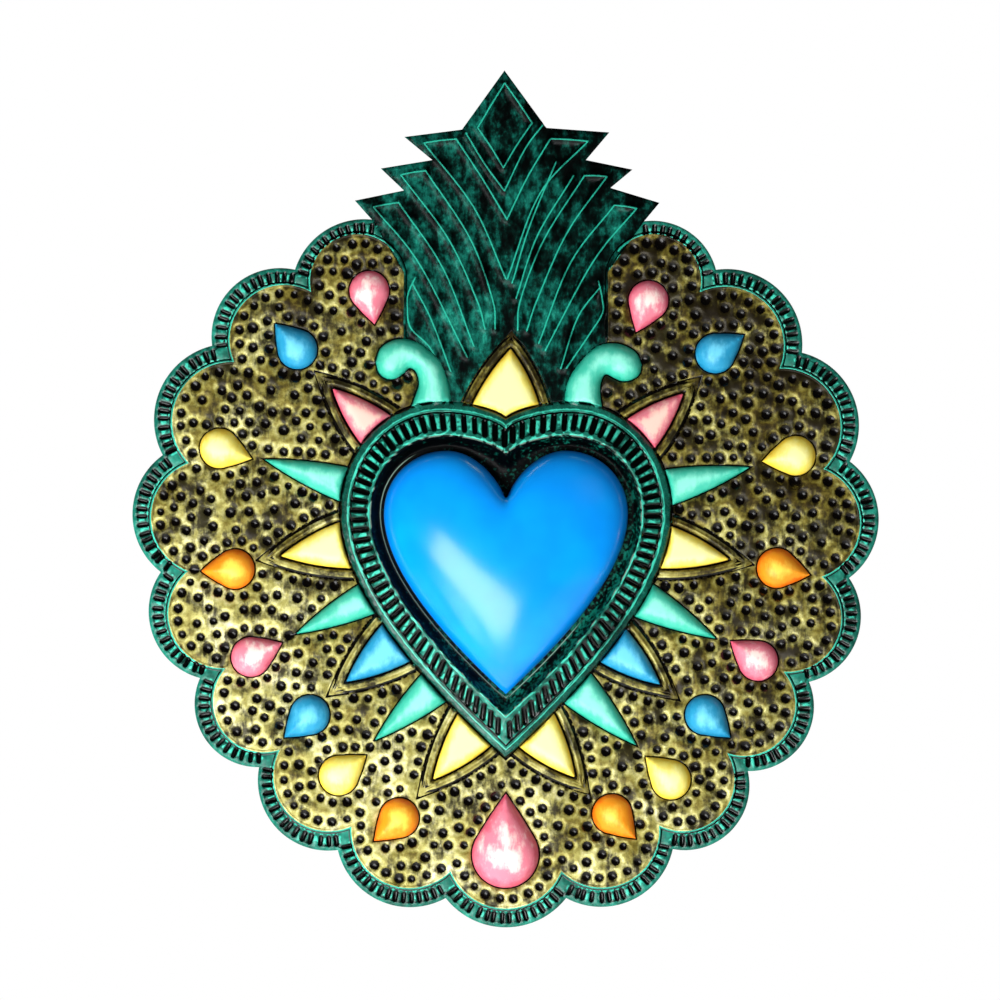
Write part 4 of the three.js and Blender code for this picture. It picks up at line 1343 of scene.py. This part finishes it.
@dataclass(frozen=True)
class GoldOverBlack(Finish):
    """Gold bronze paint dry-brushed over black: bright on what stands out, black in every pit and groove."""

    shades: tuple[tuple[float, str], ...] = (
        (0.0, "#1C1405"), (0.2, "#4C3F10"), (0.4, "#82762E"),
        (0.6, "#B0A95C"), (0.8, "#DCD690"), (1.0, "#FEF8C6"),
    )
    black: str = "#050302"
    smudge_colour: str = "#171004"
    # Painted light and shade: the gold's tone rises along this direction towards the lower left, and is level
    # at the plate's middle
    lit_side: tuple[float, float, float] = (-4.2, 0.0, -6.2)
    lit_middle: float = -0.78
    patch_mm: float = 16
    smudge_mm: float = 6.5
    mottle_mm: float = 2.4
    stroke_mm: float = 1.5
    grit_mm: float = 1.0
    depth_mm: float = 0.07

    def dress(self, add: AddNode, place: Socket) -> dict[str, Any]:
        """Lay mottled gold over black, thinner where the tin lies low, with painted shade: lighter towards
        the lower left, darker towards the upper right.
        """
        brushed = add("VectorMath", {0: place, 1: (1.0, 1.0, 0.22)}, operation="MULTIPLY")
        patches = add("TexNoise", {
            "Vector": place, "Scale": grains(self.patch_mm), "Detail": 3, "Roughness": 0.6,
        })
        mottle = add("TexNoise", {
            "Vector": place, "Scale": grains(self.mottle_mm), "Detail": 5, "Roughness": 0.68,
        })
        strokes = add("TexNoise", {
            "Vector": brushed, "Scale": grains(self.stroke_mm), "Detail": 3, "Roughness": 0.6,
        })
        smudges = add("TexNoise", {
            "Vector": place, "Scale": grains(self.smudge_mm), "Detail": 4, "Roughness": 0.62,
        })
        grit = add("TexNoise", {
            "Vector": place, "Scale": grains(self.grit_mm), "Detail": 3, "Roughness": 0.6,
        })
        crest = add("Attribute", attribute_name="crest", output="Fac")
        patina = add("Attribute", attribute_name="patina", output="Fac")
        # Painted light and shade: lighter towards the lower left, where the light falls, darker towards the
        # upper right
        lit = add("VectorMath", {0: place, 1: self.lit_side}, operation="DOT_PRODUCT", output="Value")
        rubbed = add("Math", {0: lit, 1: self.lit_middle}, operation="ADD")
        tone = weighted_sum(add, -0.55, (patches, 1.1), (mottle, 0.85), (rubbed, 0.2), (crest, 0.22))
        gold = add("ValToRGB", {0: tone}, stops=self.shades)
        # Black smudges of dirt, with painted shade: a few more of them towards the upper right
        dirt = weighted_sum(add, 0.0, (smudges, 1.0), (strokes, 0.35), (rubbed, -0.07))
        smudged = add("MapRange", {
            "Value": dirt, "From Min": 0.56, "From Max": 0.8, "To Max": 0.95,
        }, interpolation_type="SMOOTHSTEP")
        gold = add("Mix", {0: smudged, 6: gold, 7: self.smudge_colour}, data_type="RGBA", output=2)
        settled = weighted_sum(add, 0.0, (patina, 1.0), (grit, 0.45))
        dark = add("MapRange", {
            "Value": settled, "From Min": 0.56, "From Max": 0.84,
        }, interpolation_type="SMOOTHSTEP")
        relief = add("Math", {0: mottle, 1: strokes}, operation="ADD")
        return {
            "Base Color": add("Mix", {0: dark, 6: gold, 7: self.black}, data_type="RGBA", output=2),
            "Metallic": weighted_sum(add, 0.3, (dark, -0.3)),
            "Roughness": weighted_sum(add, self.roughness, (dark, -0.2)),
            "Normal": add("Bump", {"Height": relief, "Strength": 1.0, "Distance": self.depth_mm * MM}),
        }


@dataclass(frozen=True)
class GreenOverBlack(Finish):
    """Sea-green lacquer rubbed over black, with bright green left on the chased crests."""

    shades: tuple[tuple[float, str], ...] = (
        (0.0, "#000202"), (0.25, "#010E0B"), (0.42, "#042A23"),
        (0.58, "#0A4C3F"), (0.78, "#157260"), (1.0, "#2A9A84"),
    )
    crest_colour: str = "#3CC6AA"
    black: str = "#010302"
    cover: float = 0.0
    mottled: float = 1.2
    crest_share: float = 1.0
    patch_mm: float = 11
    mottle_mm: float = 2.1
    depth_mm: float = 0.06
    lit_side: tuple[float, float, float] = (0.0, 0.0, 0.0)

    def dress(self, add: AddNode, place: Socket) -> dict[str, Any]:
        """Lay mottled green over black, rubbed through in patches, and bright lines on the crests."""
        brushed = add("VectorMath", {0: place, 1: (1.0, 1.0, 0.5)}, operation="MULTIPLY")
        patches = add("TexNoise", {
            "Vector": brushed, "Scale": grains(self.patch_mm), "Detail": 6, "Roughness": 0.7,
        })
        mottle = add("TexNoise", {
            "Vector": place, "Scale": grains(self.mottle_mm), "Detail": 4, "Roughness": 0.65,
        })
        crest = add("Attribute", attribute_name="crest", output="Fac")
        patina = add("Attribute", attribute_name="patina", output="Fac")
        lit = add("VectorMath", {0: place, 1: self.lit_side}, operation="DOT_PRODUCT", output="Value")
        darkest = 0.15 + self.cover - self.mottled / 2
        tone = weighted_sum(add, darkest, (patches, self.mottled), (mottle, 0.7), (lit, 1.0))
        green = add("ValToRGB", {0: tone}, stops=self.shades)
        line = add("MapRange", {
            "Value": weighted_sum(add, 0.0, (crest, 1.0), (mottle, 0.35)), "From Min": 0.5, "From Max": 0.82,
        }, interpolation_type="SMOOTHSTEP")
        left_on = add("MapRange", {
            "Value": patches, "From Min": 0.2, "From Max": 0.55, "To Max": self.crest_share,
        }, interpolation_type="SMOOTHSTEP")
        bright = add("Math", {0: line, 1: left_on}, operation="MULTIPLY")
        colour = add("Mix", {0: bright, 6: green, 7: self.crest_colour}, data_type="RGBA", output=2)
        dark = add("MapRange", {
            "Value": weighted_sum(add, 0.0, (patina, 1.0), (mottle, 0.35)), "From Min": 0.6, "From Max": 0.85,
        }, interpolation_type="SMOOTHSTEP")
        return {
            "Base Color": add("Mix", {0: dark, 6: colour, 7: self.black}, data_type="RGBA", output=2),
            "Roughness": weighted_sum(add, self.roughness, (dark, -0.14)),
            "Normal": add("Bump", {"Height": mottle, "Strength": 1.0, "Distance": self.depth_mm * MM}),
        }


@dataclass(frozen=True)
class Lacquer(Finish):
    """Translucent lacquer over a pale ground: deep at the rim, pale in the middle, with brush streaks."""

    rim: str = "#D2435F"
    body: str = "#EC7F92"
    centre: str = "#FBE6E0"
    centre_from: float = 0.3
    centre_to: float = 0.95
    streaks: float = 1.5
    outline: str = "#120806"
    stroke_mm: float = 2.2
    cloud_mm: float = 5.5
    depth_mm: float = 0.05

    def dress(self, add: AddNode, place: Socket) -> dict[str, Any]:
        """Shade from rim to centre, broken by brush strokes."""
        brushed = add("VectorMath", {0: place, 1: (1.0, 1.0, 0.3)}, operation="MULTIPLY")
        strokes = add("TexNoise", {
            "Vector": brushed, "Scale": grains(self.stroke_mm), "Detail": 5, "Roughness": 0.68,
        })
        cloud = add("TexNoise", {
            "Vector": place, "Scale": grains(self.cloud_mm), "Detail": 3, "Roughness": 0.6,
        })
        inset = add("Attribute", attribute_name="inset", output="Fac")
        patina = add("Attribute", attribute_name="patina", output="Fac")
        wobble = weighted_sum(add, -1.0, (strokes, 1.0), (cloud, 1.0))
        edge = add("MapRange", {
            "Value": weighted_sum(add, 0.0, (inset, 1.0), (wobble, 0.5)), "From Min": 0.0, "From Max": 0.26,
        }, interpolation_type="SMOOTHSTEP")
        middle = add("MapRange", {
            "Value": weighted_sum(add, 0.0, (inset, 1.0), (wobble, self.streaks)),
            "From Min": self.centre_from, "From Max": self.centre_to,
        }, interpolation_type="SMOOTHSTEP")
        dark = add("MapRange", {
            "Value": patina, "From Min": 0.45, "From Max": 0.9,
        }, interpolation_type="SMOOTHSTEP")
        colour = add("Mix", {0: edge, 6: self.rim, 7: self.body}, data_type="RGBA", output=2)
        colour = add("Mix", {0: middle, 6: colour, 7: self.centre}, data_type="RGBA", output=2)
        return {
            "Base Color": add("Mix", {0: dark, 6: colour, 7: self.outline}, data_type="RGBA", output=2),
            "Normal": add("Bump", {"Height": strokes, "Strength": 1.0, "Distance": self.depth_mm * MM}),
        }


@dataclass(frozen=True)
class SpeckledBlack(Finish):
    """Black lacquer with green rubbed thinly over it, in the recess around the wooden heart."""

    black: str = "#010202"
    fleck: str = "#0E6453"
    # The colour of the painted highlight beside the wooden heart
    bare: str = "#7F9A8C"
    lit_side: tuple[float, float, float] = (1.9, 0.0, -1.5)
    fleck_mm: float = 1.3
    patch_mm: float = 6
    depth_mm: float = 0.08

    def dress(self, add: AddNode, place: Socket) -> dict[str, Any]:
        """Fleck the black with dark green, and paint a pale highlight beside the heart's lower-left edge."""
        flecks = add("TexNoise", {
            "Vector": place, "Scale": grains(self.fleck_mm), "Detail": 3, "Roughness": 0.6,
        })
        patches = add("TexNoise", {
            "Vector": place, "Scale": grains(self.patch_mm), "Detail": 2, "Roughness": 0.5,
        })
        lit = add("VectorMath", {0: place, 1: self.lit_side}, operation="DOT_PRODUCT", output="Value")
        flecked = add("MapRange", {
            "Value": weighted_sum(add, 0.0, (flecks, 1.0), (patches, 0.5), (lit, 1.0)),
            "From Min": 0.95, "From Max": 1.15,
        }, interpolation_type="SMOOTHSTEP")
        # Painted highlight: the pale line beside the heart's lower-left edge
        scratch = add("MapRange", {
            "Value": add("Attribute", attribute_name="crest", output="Fac"),
            "From Min": 0.2, "From Max": 0.9, "To Max": 0.8,
        }, interpolation_type="SMOOTHSTEP")
        colour = add("Mix", {0: flecked, 6: self.black, 7: self.fleck}, data_type="RGBA", output=2)
        return {
            "Base Color": add("Mix", {0: scratch, 6: colour, 7: self.bare}, data_type="RGBA", output=2),
            "Normal": add("Bump", {"Height": flecks, "Strength": 1.0, "Distance": self.depth_mm * MM}),
        }


@dataclass(frozen=True)
class SatinEnamel(Finish):
    """Brushed and rubbed-down alkyd enamel on carved wood: an even satin blue with faint brush marks."""

    colour: str = "#009AF8"
    deep: str = "#008EF0"
    edge: str = "#0480DE"
    cloud_mm: float = 18
    # Real brush marks are about 0.3 mm apart; these are drawn coarser, or none would show
    mark_mm: float = 1.4
    depth_mm: float = 0.02

    def dress(self, add: AddNode, place: Socket) -> dict[str, Any]:
        """Vary the blue a little, deeper towards the edge."""
        brushed = add("VectorMath", {0: place, 1: (1.0, 1.0, 0.12)}, operation="MULTIPLY")
        cloud = add("TexNoise", {
            "Vector": place, "Scale": grains(self.cloud_mm), "Detail": 2, "Roughness": 0.5,
        })
        marks = add("TexNoise", {
            "Vector": brushed, "Scale": grains(self.mark_mm), "Detail": 2, "Roughness": 0.5,
        })
        clouded = add("MapRange", {
            "Value": cloud, "From Min": 0.3, "From Max": 0.7,
        }, interpolation_type="SMOOTHSTEP")
        within = add("MapRange", {
            "Value": add("Attribute", attribute_name="inset", output="Fac"),
            "From Min": 0.0, "From Max": 0.12,
        }, interpolation_type="SMOOTHSTEP")
        colour = add("Mix", {0: clouded, 6: self.deep, 7: self.colour}, data_type="RGBA", output=2)
        return {
            "Base Color": add("Mix", {0: within, 6: self.edge, 7: colour}, data_type="RGBA", output=2),
            "Normal": add("Bump", {"Height": marks, "Strength": 1.0, "Distance": self.depth_mm * MM}),
        }


@dataclass(frozen=True)
class Metal(Finish):
    """A bare metal with a drawn or rolled grain, slightly uneven in tone."""

    metallic: float = 1.0
    colour: str = field(default="#B2B3AE", kw_only=True)
    dull: str = field(default="#84857F", kw_only=True)
    # Rolling and drawing marks are finer than this; they are drawn coarser, or none would show
    grain_mm: float = field(default=0.3, kw_only=True)
    grain_stretch: tuple[float, float, float] = field(default=(1, 1, 1), kw_only=True)
    blotch_mm: float = field(default=3, kw_only=True)
    depth_mm: float = field(default=0.015, kw_only=True)

    def dress(self, add: AddNode, place: Socket) -> dict[str, Any]:
        """Blotch the tone and scratch the surface along its grain."""
        rolled = add("VectorMath", {0: place, 1: self.grain_stretch}, operation="MULTIPLY")
        grain = add("TexNoise", {
            "Vector": rolled, "Scale": grains(self.grain_mm), "Detail": 2, "Roughness": 0.6,
        })
        blotch = add("TexNoise", {
            "Vector": place, "Scale": grains(self.blotch_mm), "Detail": 4, "Roughness": 0.6,
        })
        clean = add("MapRange", {
            "Value": blotch, "From Min": 0.35, "From Max": 0.65,
        }, interpolation_type="SMOOTHSTEP")
        return {
            "Base Color": add("Mix", {0: clean, 6: self.dull, 7: self.colour}, data_type="RGBA", output=2),
            "Roughness": weighted_sum(add, self.roughness - 0.12, (grain, 0.25)),
            "Normal": add("Bump", {"Height": grain, "Strength": 1.0, "Distance": self.depth_mm * MM}),
        }


def make_piece(name: str, corners: np.ndarray, faces: Sequence[Sequence[int]], body: str,
               materials: Sequence[bpy.types.Material], flat: np.ndarray, attributes: dict[str, np.ndarray],
               material_index: np.ndarray | None = None) -> bpy.types.Object:
    """Make a mesh piece and put it on its body.

    Args:
        name: The piece's name.
        corners: Its corners in metres.
        faces: The corner numbers of each face.
        body: The body that carries it.
        materials: Its materials.
        flat: Which faces are flat and not smoothed.
        attributes: Values for each corner, by name.
        material_index: The material of each face, if there is more than one.

    Returns:
        The piece.
    """
    mesh = bpy.data.meshes.new(name)
    mesh.from_pydata(corners.tolist(), [], faces)
    for material in materials:
        mesh.materials.append(material)
    if material_index is not None:
        mesh.polygons.foreach_set("material_index", material_index.astype(np.int32))
    mesh.polygons.foreach_set("use_smooth", ~flat)
    for key, values in attributes.items():
        layer = mesh.attributes.new(key, "FLOAT", "POINT")
        layer.data.foreach_set("value", values.astype(np.float32))
    mesh.update()
    piece = bpy.data.objects.new(name, mesh)
    bpy.context.scene.collection.objects.link(piece)
    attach(piece, body)
    log.info("piece %s: %d faces on %s", name, len(mesh.polygons), body)
    return piece


@dataclass
class TinSheet:
    """The chased and painted tin sheet."""

    thickness: float = 0.5
    form: SheetForm = field(default_factory=SheetForm)
    glaze_roughness: float = 0.38

    def __post_init__(self) -> None:
        """Find the sheet's place from its solid."""
        low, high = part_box("tin_sheet")
        self.front_y = high[1] / MM - self.thickness
        self.middle_z = high[2] / MM - max(v for _, v in self.form.plan.flame_edge)
        self.skin = SheetSkin(self.form)

    def upright(self, points: np.ndarray, height: np.ndarray) -> np.ndarray:
        """Turn places on the sheet and their heights into metres in the object's frame."""
        return np.column_stack([points[:, 0], self.front_y - height, points[:, 1] + self.middle_z]) * MM

    def finishes(self) -> dict[str, bpy.types.Material]:
        """Make the sheet's paints and the bare tin of its back."""
        rough = self.glaze_roughness
        paints = {
            # Bronze powder in varnish, dry-brushed over black: dull gold that glints on what stands out
            "gold": GoldOverBlack("gold_bronze_paint_over_black", roughness=0.4),
            # Sea-green lacquer brushed over black and wiped: glossy dark green, lighter on every edge
            "border": GreenOverBlack(
                "sea_green_lacquer_border", roughness=0.36, specular=0.6, cover=0.24, mottled=0.9,
            ),
            "frame": GreenOverBlack(
                "sea_green_lacquer_frame", roughness=0.32, specular=0.6, cover=0.19, mottled=1.3,
            ),
            # The same lacquer wiped harder: nearly black in patches, with bright lines on the ridges
            "flame": GreenOverBlack(
                "sea_green_lacquer_flame", roughness=0.3, specular=0.15, cover=-0.04, mottled=2.2,
                crest_share=0.9, patch_mm=6, lit_side=(-2.2, 0.0, -1.6), crest_colour="#26A88E",
                shades=(
                    (0.0, "#000000"), (0.28, "#000504"), (0.44, "#021B16"),
                    (0.6, "#07443A"), (0.8, "#12695A"), (1.0, "#2A9A84"),
                ),
            ),
            # Black lacquer with what the green brush left on it: near-black with sparse flecks
            "recess": SpeckledBlack("black_lacquer_recess", roughness=0.36, specular=0.14),
            # Rolled tinplate: a soft grey shine with a faint grain and dull blotches
            "tin": Metal("bare_tinplate", 0.42, grain_mm=0.8, grain_stretch=(0.2, 1.0, 1.0), blotch_mm=16),
            # Translucent lacquers brushed over a pale ground: deep at the rim, pale and streaky in the middle
            "pink": Lacquer("pink_lacquer", rough, rim="#DC5A73", body="#E67E90", centre="#F6DAD2",
                            centre_from=0.25, centre_to=0.95, streaks=1.7),
            "rays_pink": Lacquer("pink_brushed_lacquer", 0.5, rim="#D8566E", body="#DE7A88", centre="#EDBFB0",
                                 centre_from=0.2, centre_to=0.9, streaks=1.7),
            "yellow": Lacquer("yellow_lacquer", rough, rim="#EFC93E", body="#F3E060", centre="#F6F2A2",
                              centre_from=0.15, centre_to=0.8, streaks=0.8),
            "orange": Lacquer("orange_lacquer", rough, rim="#E86C0C", body="#EA9018", centre="#F4D04C",
                              centre_from=0.3, centre_to=0.95, streaks=0.9),
            "blue": Lacquer("blue_lacquer", rough, rim="#137CA8", body="#2592BC", centre="#68C8E6",
                            centre_from=0.25, centre_to=1.05, streaks=1.2),
            "mint": Lacquer("mint_lacquer", rough, rim="#1CA084", body="#3EBCA0", centre="#86E2CA",
                            centre_from=0.3, centre_to=1.1, streaks=1.0, outline="#04201A"),
        }
        return {key: finish.build() for key, finish in paints.items()}

    def groups(self) -> list[tuple[str, str, np.ndarray]]:
        """Sort the skin's triangles into pieces.

        Returns:
            Each piece's name, its paint, and which triangles it has.
        """
        plan, zone = self.form.plan, self.skin.zone
        plain = (
            ("dotted_field", Zone.FIELD, "gold"), ("border", Zone.BORDER, "border"),
            ("flame", Zone.FLAME, "flame"), ("heart_frame", Zone.FRAME, "frame"),
            ("recess", Zone.RECESS, "recess"), ("ray_surrounds", Zone.SURROUND, "gold"),
            ("scrolls", Zone.SCROLL, "mint"),
        )
        groups = [(name, paint, zone == which.value) for name, which, paint in plain]
        on_drop = zone == Zone.DROP.value
        on_ray = np.isin(zone, [Zone.PLAIN_RAY.value, Zone.FRAMED_RAY.value])
        for paint in Paint:
            drops = [line for drop, line in zip(plan.drops, self.form.drop_lines) if drop.paint is paint]
            rays = [line for ray, line in zip(plan.rays, self.form.ray_lines) if ray.paint is paint]
            for kind, lines, chosen in (("drops", drops, on_drop), ("rays", rays, on_ray)):
                if lines:
                    within = np.any([inside(self.skin.middles, line) for line in lines], axis=0)
                    groups.append((f"{kind}_{paint.value}", paint.value, chosen & within))
        return groups

    def build(self) -> None:
        """Build the sheet's pieces, split along their creases."""
        finishes = self.finishes()
        for name, paint, chosen in self.groups():
            front = finishes.get(name, finishes[paint])
            piece = self.shell(name, self.skin.triangles[chosen], [front, finishes["tin"]])
            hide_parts("tin_sheet")

    def shell(self, name: str, triangles: np.ndarray,
              materials: list[bpy.types.Material]) -> bpy.types.Object:
        """Make a closed piece of sheet from triangles of its front.

        Args:
            name: The piece's name.
            triangles: The triangles of its front.
            materials: The paint of its front and the metal of its back.

        Returns:
            The piece.
        """
        used, local = np.unique(triangles, return_inverse=True)
        local = local.reshape(-1, 3)
        count = len(used)
        relief = self.skin.relief
        points, height = self.skin.points[used], relief.height[used]
        corners = np.vstack([self.upright(points, height), self.upright(points, height - self.thickness)])
        sides = np.vstack([local[:, [0, 1]], local[:, [1, 2]], local[:, [2, 0]]])
        keys = sides[:, 0] * count + sides[:, 1]
        mirror = sides[:, 1] * count + sides[:, 0]
        rim = sides[~np.isin(keys, mirror)]
        walls = np.column_stack([rim[:, 1], rim[:, 0], rim[:, 0] + count, rim[:, 1] + count])
        faces = [*local.tolist(), *(local[:, ::-1] + count).tolist(), *walls.tolist()]
        number = len(local)
        material_index = np.concatenate([np.zeros(number), np.ones(number), np.zeros(len(walls))])
        flat = np.concatenate([np.zeros(2 * number, dtype=bool), np.ones(len(walls), dtype=bool)])
        values = {"patina": relief.patina, "crest": relief.crest, "inset": relief.inset}
        attributes = {key: np.tile(value[used], 2) for key, value in values.items()}
        return make_piece(
            name, corners, faces, ROOT_BODY, materials, flat, attributes, material_index,
        )


@dataclass
class WoodenHeart:
    """The carved and enamelled wooden heart."""

    line: HeartLine = field(default_factory=lambda: SheetPlan().wood)
    edge_height: float = 1.2
    fullness: float = 2.4
    rings: int = 34
    ring_crowding: float = 1.9
    steps: int = 44
    softness: float = 0.09

    @staticmethod
    def rounded(ring: np.ndarray, share: float) -> np.ndarray:
        """Round a closed line's corners.

        Args:
            ring: The line's points.
            share: How far along the line its corners are spread, as a share of its length.

        Returns:
            The rounded line's points.
        """
        waves = np.fft.fft(ring[:, 0] + 1j * ring[:, 1])
        order = np.fft.fftfreq(len(ring)) * len(ring)
        soft = np.fft.ifft(waves * np.exp(-2 * (math.pi * share * order) ** 2))
        return np.column_stack([soft.real, soft.imag])

    def build(self, sheet: TinSheet) -> None:
        """Build the dome ring by ring, from its flat back to its top.

        Args:
            sheet: The sheet that it lies on.
        """
        low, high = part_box("wood_heart")
        top = (high[1] - low[1]) / MM
        outline = self.line.outline(self.steps)
        count = len(outline)
        smallest = 0.015
        shares = 1 - (np.linspace(0, 1, self.rings) ** self.ring_crowding) * (1 - smallest)
        levels = [(outline, 0.0, 0.0), (outline, self.edge_height * 0.6, 0.0)]
        for share in shares:
            swell = math.sqrt(max(0.0, 1 - share ** self.fullness))
            height = self.edge_height + (top - self.edge_height) * swell
            softness = self.softness * (1 - share) ** 0.7
            ring = self.rounded(self.line.shrunk(share).outline(self.steps), softness)
            levels.append((ring, height, 1 - share))
        points = np.vstack([ring for ring, _, _ in levels])
        heights = np.repeat([height for _, height, _ in levels], count)
        inset = np.repeat([value for _, _, value in levels], count)
        corners = sheet.upright(points, heights)
        corners[:, 1] = np.clip(corners[:, 1], low[1], high[1])
        numbers = np.arange(count)
        following = np.roll(numbers, -1)
        faces = []
        for level in range(len(levels) - 1):
            a, b = level * count, (level + 1) * count
            faces += np.column_stack([a + numbers, a + following, b + following, b + numbers]).tolist()
        back, tip = numbers[::-1], numbers + (len(levels) - 1) * count
        faces += [back.tolist(), tip.tolist()]
        flat = np.zeros(len(faces), dtype=bool)
        flat[-2] = True
        # Alkyd enamel rubbed down and polished on carved wood: an even blue with one soft-edged highlight
        enamel = SatinEnamel("satin_blue_enamel_on_wood", roughness=0.19, specular=0.8).build()
        heart = make_piece(
            "wood_heart_dome", corners, faces, ROOT_BODY, [enamel], flat, {"inset": inset},
        )
        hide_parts("wood_heart")


@dataclass(frozen=True)
class Hardware:
    """The hidden metal parts behind the sheet, which keep their solids' shapes."""

    crease_degrees: float = 38

    def dress(self) -> None:
        """Give each metal part its finish."""
        finishes = {
            # Zinc plate: bright and a little bluish
            "washer": Metal("zinc_plated_washer", 0.32, colour="#C4C8C9", dull="#A9AEB1"),
            # Turned steel, yellow from its oil
            "wood_screw": Metal("turned_steel_screw", 0.34, colour="#B9B39C", dull="#97917C", blotch_mm=2),
            # The same rolled tin as the sheet
            "hanger_strap": Metal("bare_tin_strap", 0.4, dull="#8B8C86", grain_mm=0.5,
                                  grain_stretch=(0.2, 1, 1), blotch_mm=5),
            # Tin-lead solder that flowed and set: dull grey and uneven
            "solder": Metal("flowed_solder", 0.45, colour="#9C9EA0", dull="#7C7E80", grain_mm=0.6,
                            blotch_mm=2),
            # Galvanised wire: mid grey with a soft shine
            "hanger_ring": Metal("galvanised_wire", 0.36, colour="#A9ADAF", dull="#888C8E"),
        }
        built = {key: finish.build() for key, finish in finishes.items()}
        for obj in bpy.data.objects:
            key = next((key for key in built if obj.name.startswith(key)), None)
            if key is not None and obj.type == "MESH":
                obj.data.materials.clear()
                obj.data.materials.append(built[key])
                obj.data.shade_smooth()
                obj.data.set_sharp_from_angle(angle=math.radians(self.crease_degrees))
                log.info("dressed %s", obj.name)


@dataclass(frozen=True)
class Lamp:
    """A soft lamp that faces the ornament, placed from the plate's middle, in metres and watts."""

    name: str
    way: tuple[float, float, float]
    size: float
    power: float
    mirrored: bool = True
    length: float | None = None
    roll_degrees: float = 0

    def build(self, target: Vector) -> None:
        """Add the lamp.

        Args:
            target: The point that it faces.
        """
        lamp = bpy.data.lights.new(self.name, "AREA")
        lamp.shape = "RECTANGLE"
        lamp.size, lamp.size_y = self.length or self.size, self.size
        lamp.energy = self.power
        obj = bpy.data.objects.new(self.name, lamp)
        way = Vector(self.way)
        roll = Quaternion((0, 0, 1), math.radians(self.roll_degrees))
        obj.location = target + way
        obj.rotation_euler = ((-way).to_track_quat("-Z", "Y") @ roll).to_euler()
        obj.visible_glossy = self.mirrored
        bpy.context.scene.collection.objects.link(obj)


@dataclass(frozen=True)
class Studio:
    """The pale floor, the soft lamps and the camera in front of the ornament."""

    picture_width: float = 355.0
    picture_middle: tuple[float, float] = (-2.1, 21.3)
    camera_distance: float = 1400.0
    floor_drop: float = 700.0
    floor_half: float = 1500.0
    floor_glow: float = 0.8
    lamps: tuple[Lamp, ...] = (
        Lamp("key_lamp", (-0.49, -0.63, -0.49), 0.28, 11.5, mirrored=False),
        Lamp("front_lamp", (-0.35, -1.25, -0.5), 0.52, 11.0, length=1.1, roll_degrees=-39),
        Lamp("fill_lamp", (0.9, -1.0, 0.8), 0.7, 3.0, mirrored=False),
        Lamp("back_lamp", (0.5, 1.3, 0.7), 0.9, 14.0),
    )

    def build(self, sheet: TinSheet) -> None:
        """Set up the studio around the sheet.

        Args:
            sheet: The sheet that the camera looks at.
        """
        low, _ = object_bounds()
        self.add_floor(low[2] - self.floor_drop * MM)
        self.add_camera(sheet)
        for lamp in self.lamps:
            lamp.build(Vector((0, 0, sheet.middle_z * MM)))
        self.add_world()
        bpy.context.scene.view_settings.view_transform = "Standard"

    def add_floor(self, height: float) -> None:
        """Add the floor: matt white paper, pale to the eye, which still takes a shadow."""
        mesh = bpy.data.meshes.new("studio_floor")
        half = self.floor_half * MM
        mesh.from_pydata([(-half, -half, height), (half, -half, height), (half, half, height),
                          (-half, half, height)], [], [(0, 1, 2, 3)])
        floor = bpy.data.objects.new("studio_floor", mesh)
        bpy.context.scene.collection.objects.link(floor)
        material = bpy.data.materials.new("pale_floor_paper")
        add = fresh_nodes(material)
        looked_at = add("LightPath", output="Is Camera Ray")
        seen = add("Math", {0: looked_at, 1: self.floor_glow}, operation="MULTIPLY")
        paper = add("BsdfPrincipled", {"Base Color": "#EDEDEB", "Roughness": 0.85})
        glow = add("Emission", {"Color": "#FAFAF8", "Strength": 1.0})
        add("OutputMaterial", {0: add("MixShader", {0: seen, 1: paper, 2: glow})})
        mesh.materials.append(material)
        floor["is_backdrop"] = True

    def add_camera(self, sheet: TinSheet) -> None:
        """Add the camera, square to the ornament's front."""
        camera = bpy.data.cameras.new("camera")
        camera.sensor_width = 36.0
        camera.lens = camera.sensor_width * self.camera_distance / self.picture_width
        camera.clip_start = 0.01
        obj = bpy.data.objects.new("camera", camera)
        u, v = self.picture_middle
        obj.location = Vector((u, sheet.front_y - self.camera_distance, sheet.middle_z + v)) * MM
        obj.rotation_euler = (math.pi / 2, 0, 0)
        bpy.context.scene.collection.objects.link(obj)
        bpy.context.scene.camera = obj

    @staticmethod
    def add_world() -> None:
        """Make a white backdrop to the eye, also mirrored from behind, and a dim studio in front."""
        world = bpy.data.worlds.new("white_studio")
        bpy.context.scene.world = world
        add = fresh_nodes(world)
        rays = add("LightPath").node.outputs
        glossy, clear = rays["Is Glossy Ray"], rays["Is Transmission Ray"]
        way = add("SeparateXYZ", {0: add("TexCoord")}, output="Y")
        behind = add("MapRange", {
            "Value": way, "From Min": 0.0, "From Max": 0.2,
        }, interpolation_type="SMOOTHSTEP")
        mirrored = add("Math", {0: glossy, 1: clear}, operation="MAXIMUM")
        mirrored_behind = add("Math", {0: mirrored, 1: behind}, operation="MULTIPLY")
        shown = add("Math", {0: rays["Is Camera Ray"], 1: mirrored_behind}, operation="MAXIMUM")
        soft = add("Background", {"Color": "#F4F6F8", "Strength": 0.2})
        dim = add("Background", {"Color": "#F4F6F8", "Strength": 0.02})
        white = add("Background", {"Color": "#FFFFFF", "Strength": 1.0})
        around = add("MixShader", {0: mirrored, 1: soft, 2: dim})
        add("OutputWorld", {0: add("MixShader", {0: shown, 1: around, 2: white})})


def main() -> None:
    """Dress the ornament and set up the studio."""
    logging.basicConfig(level=logging.INFO, format="%(name)s: %(message)s")
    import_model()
    sheet = TinSheet()
    sheet.build()
    WoodenHeart().build(sheet)
    Hardware().dress()
    Studio().build(sheet)


if __name__ == "__main__":
    main()
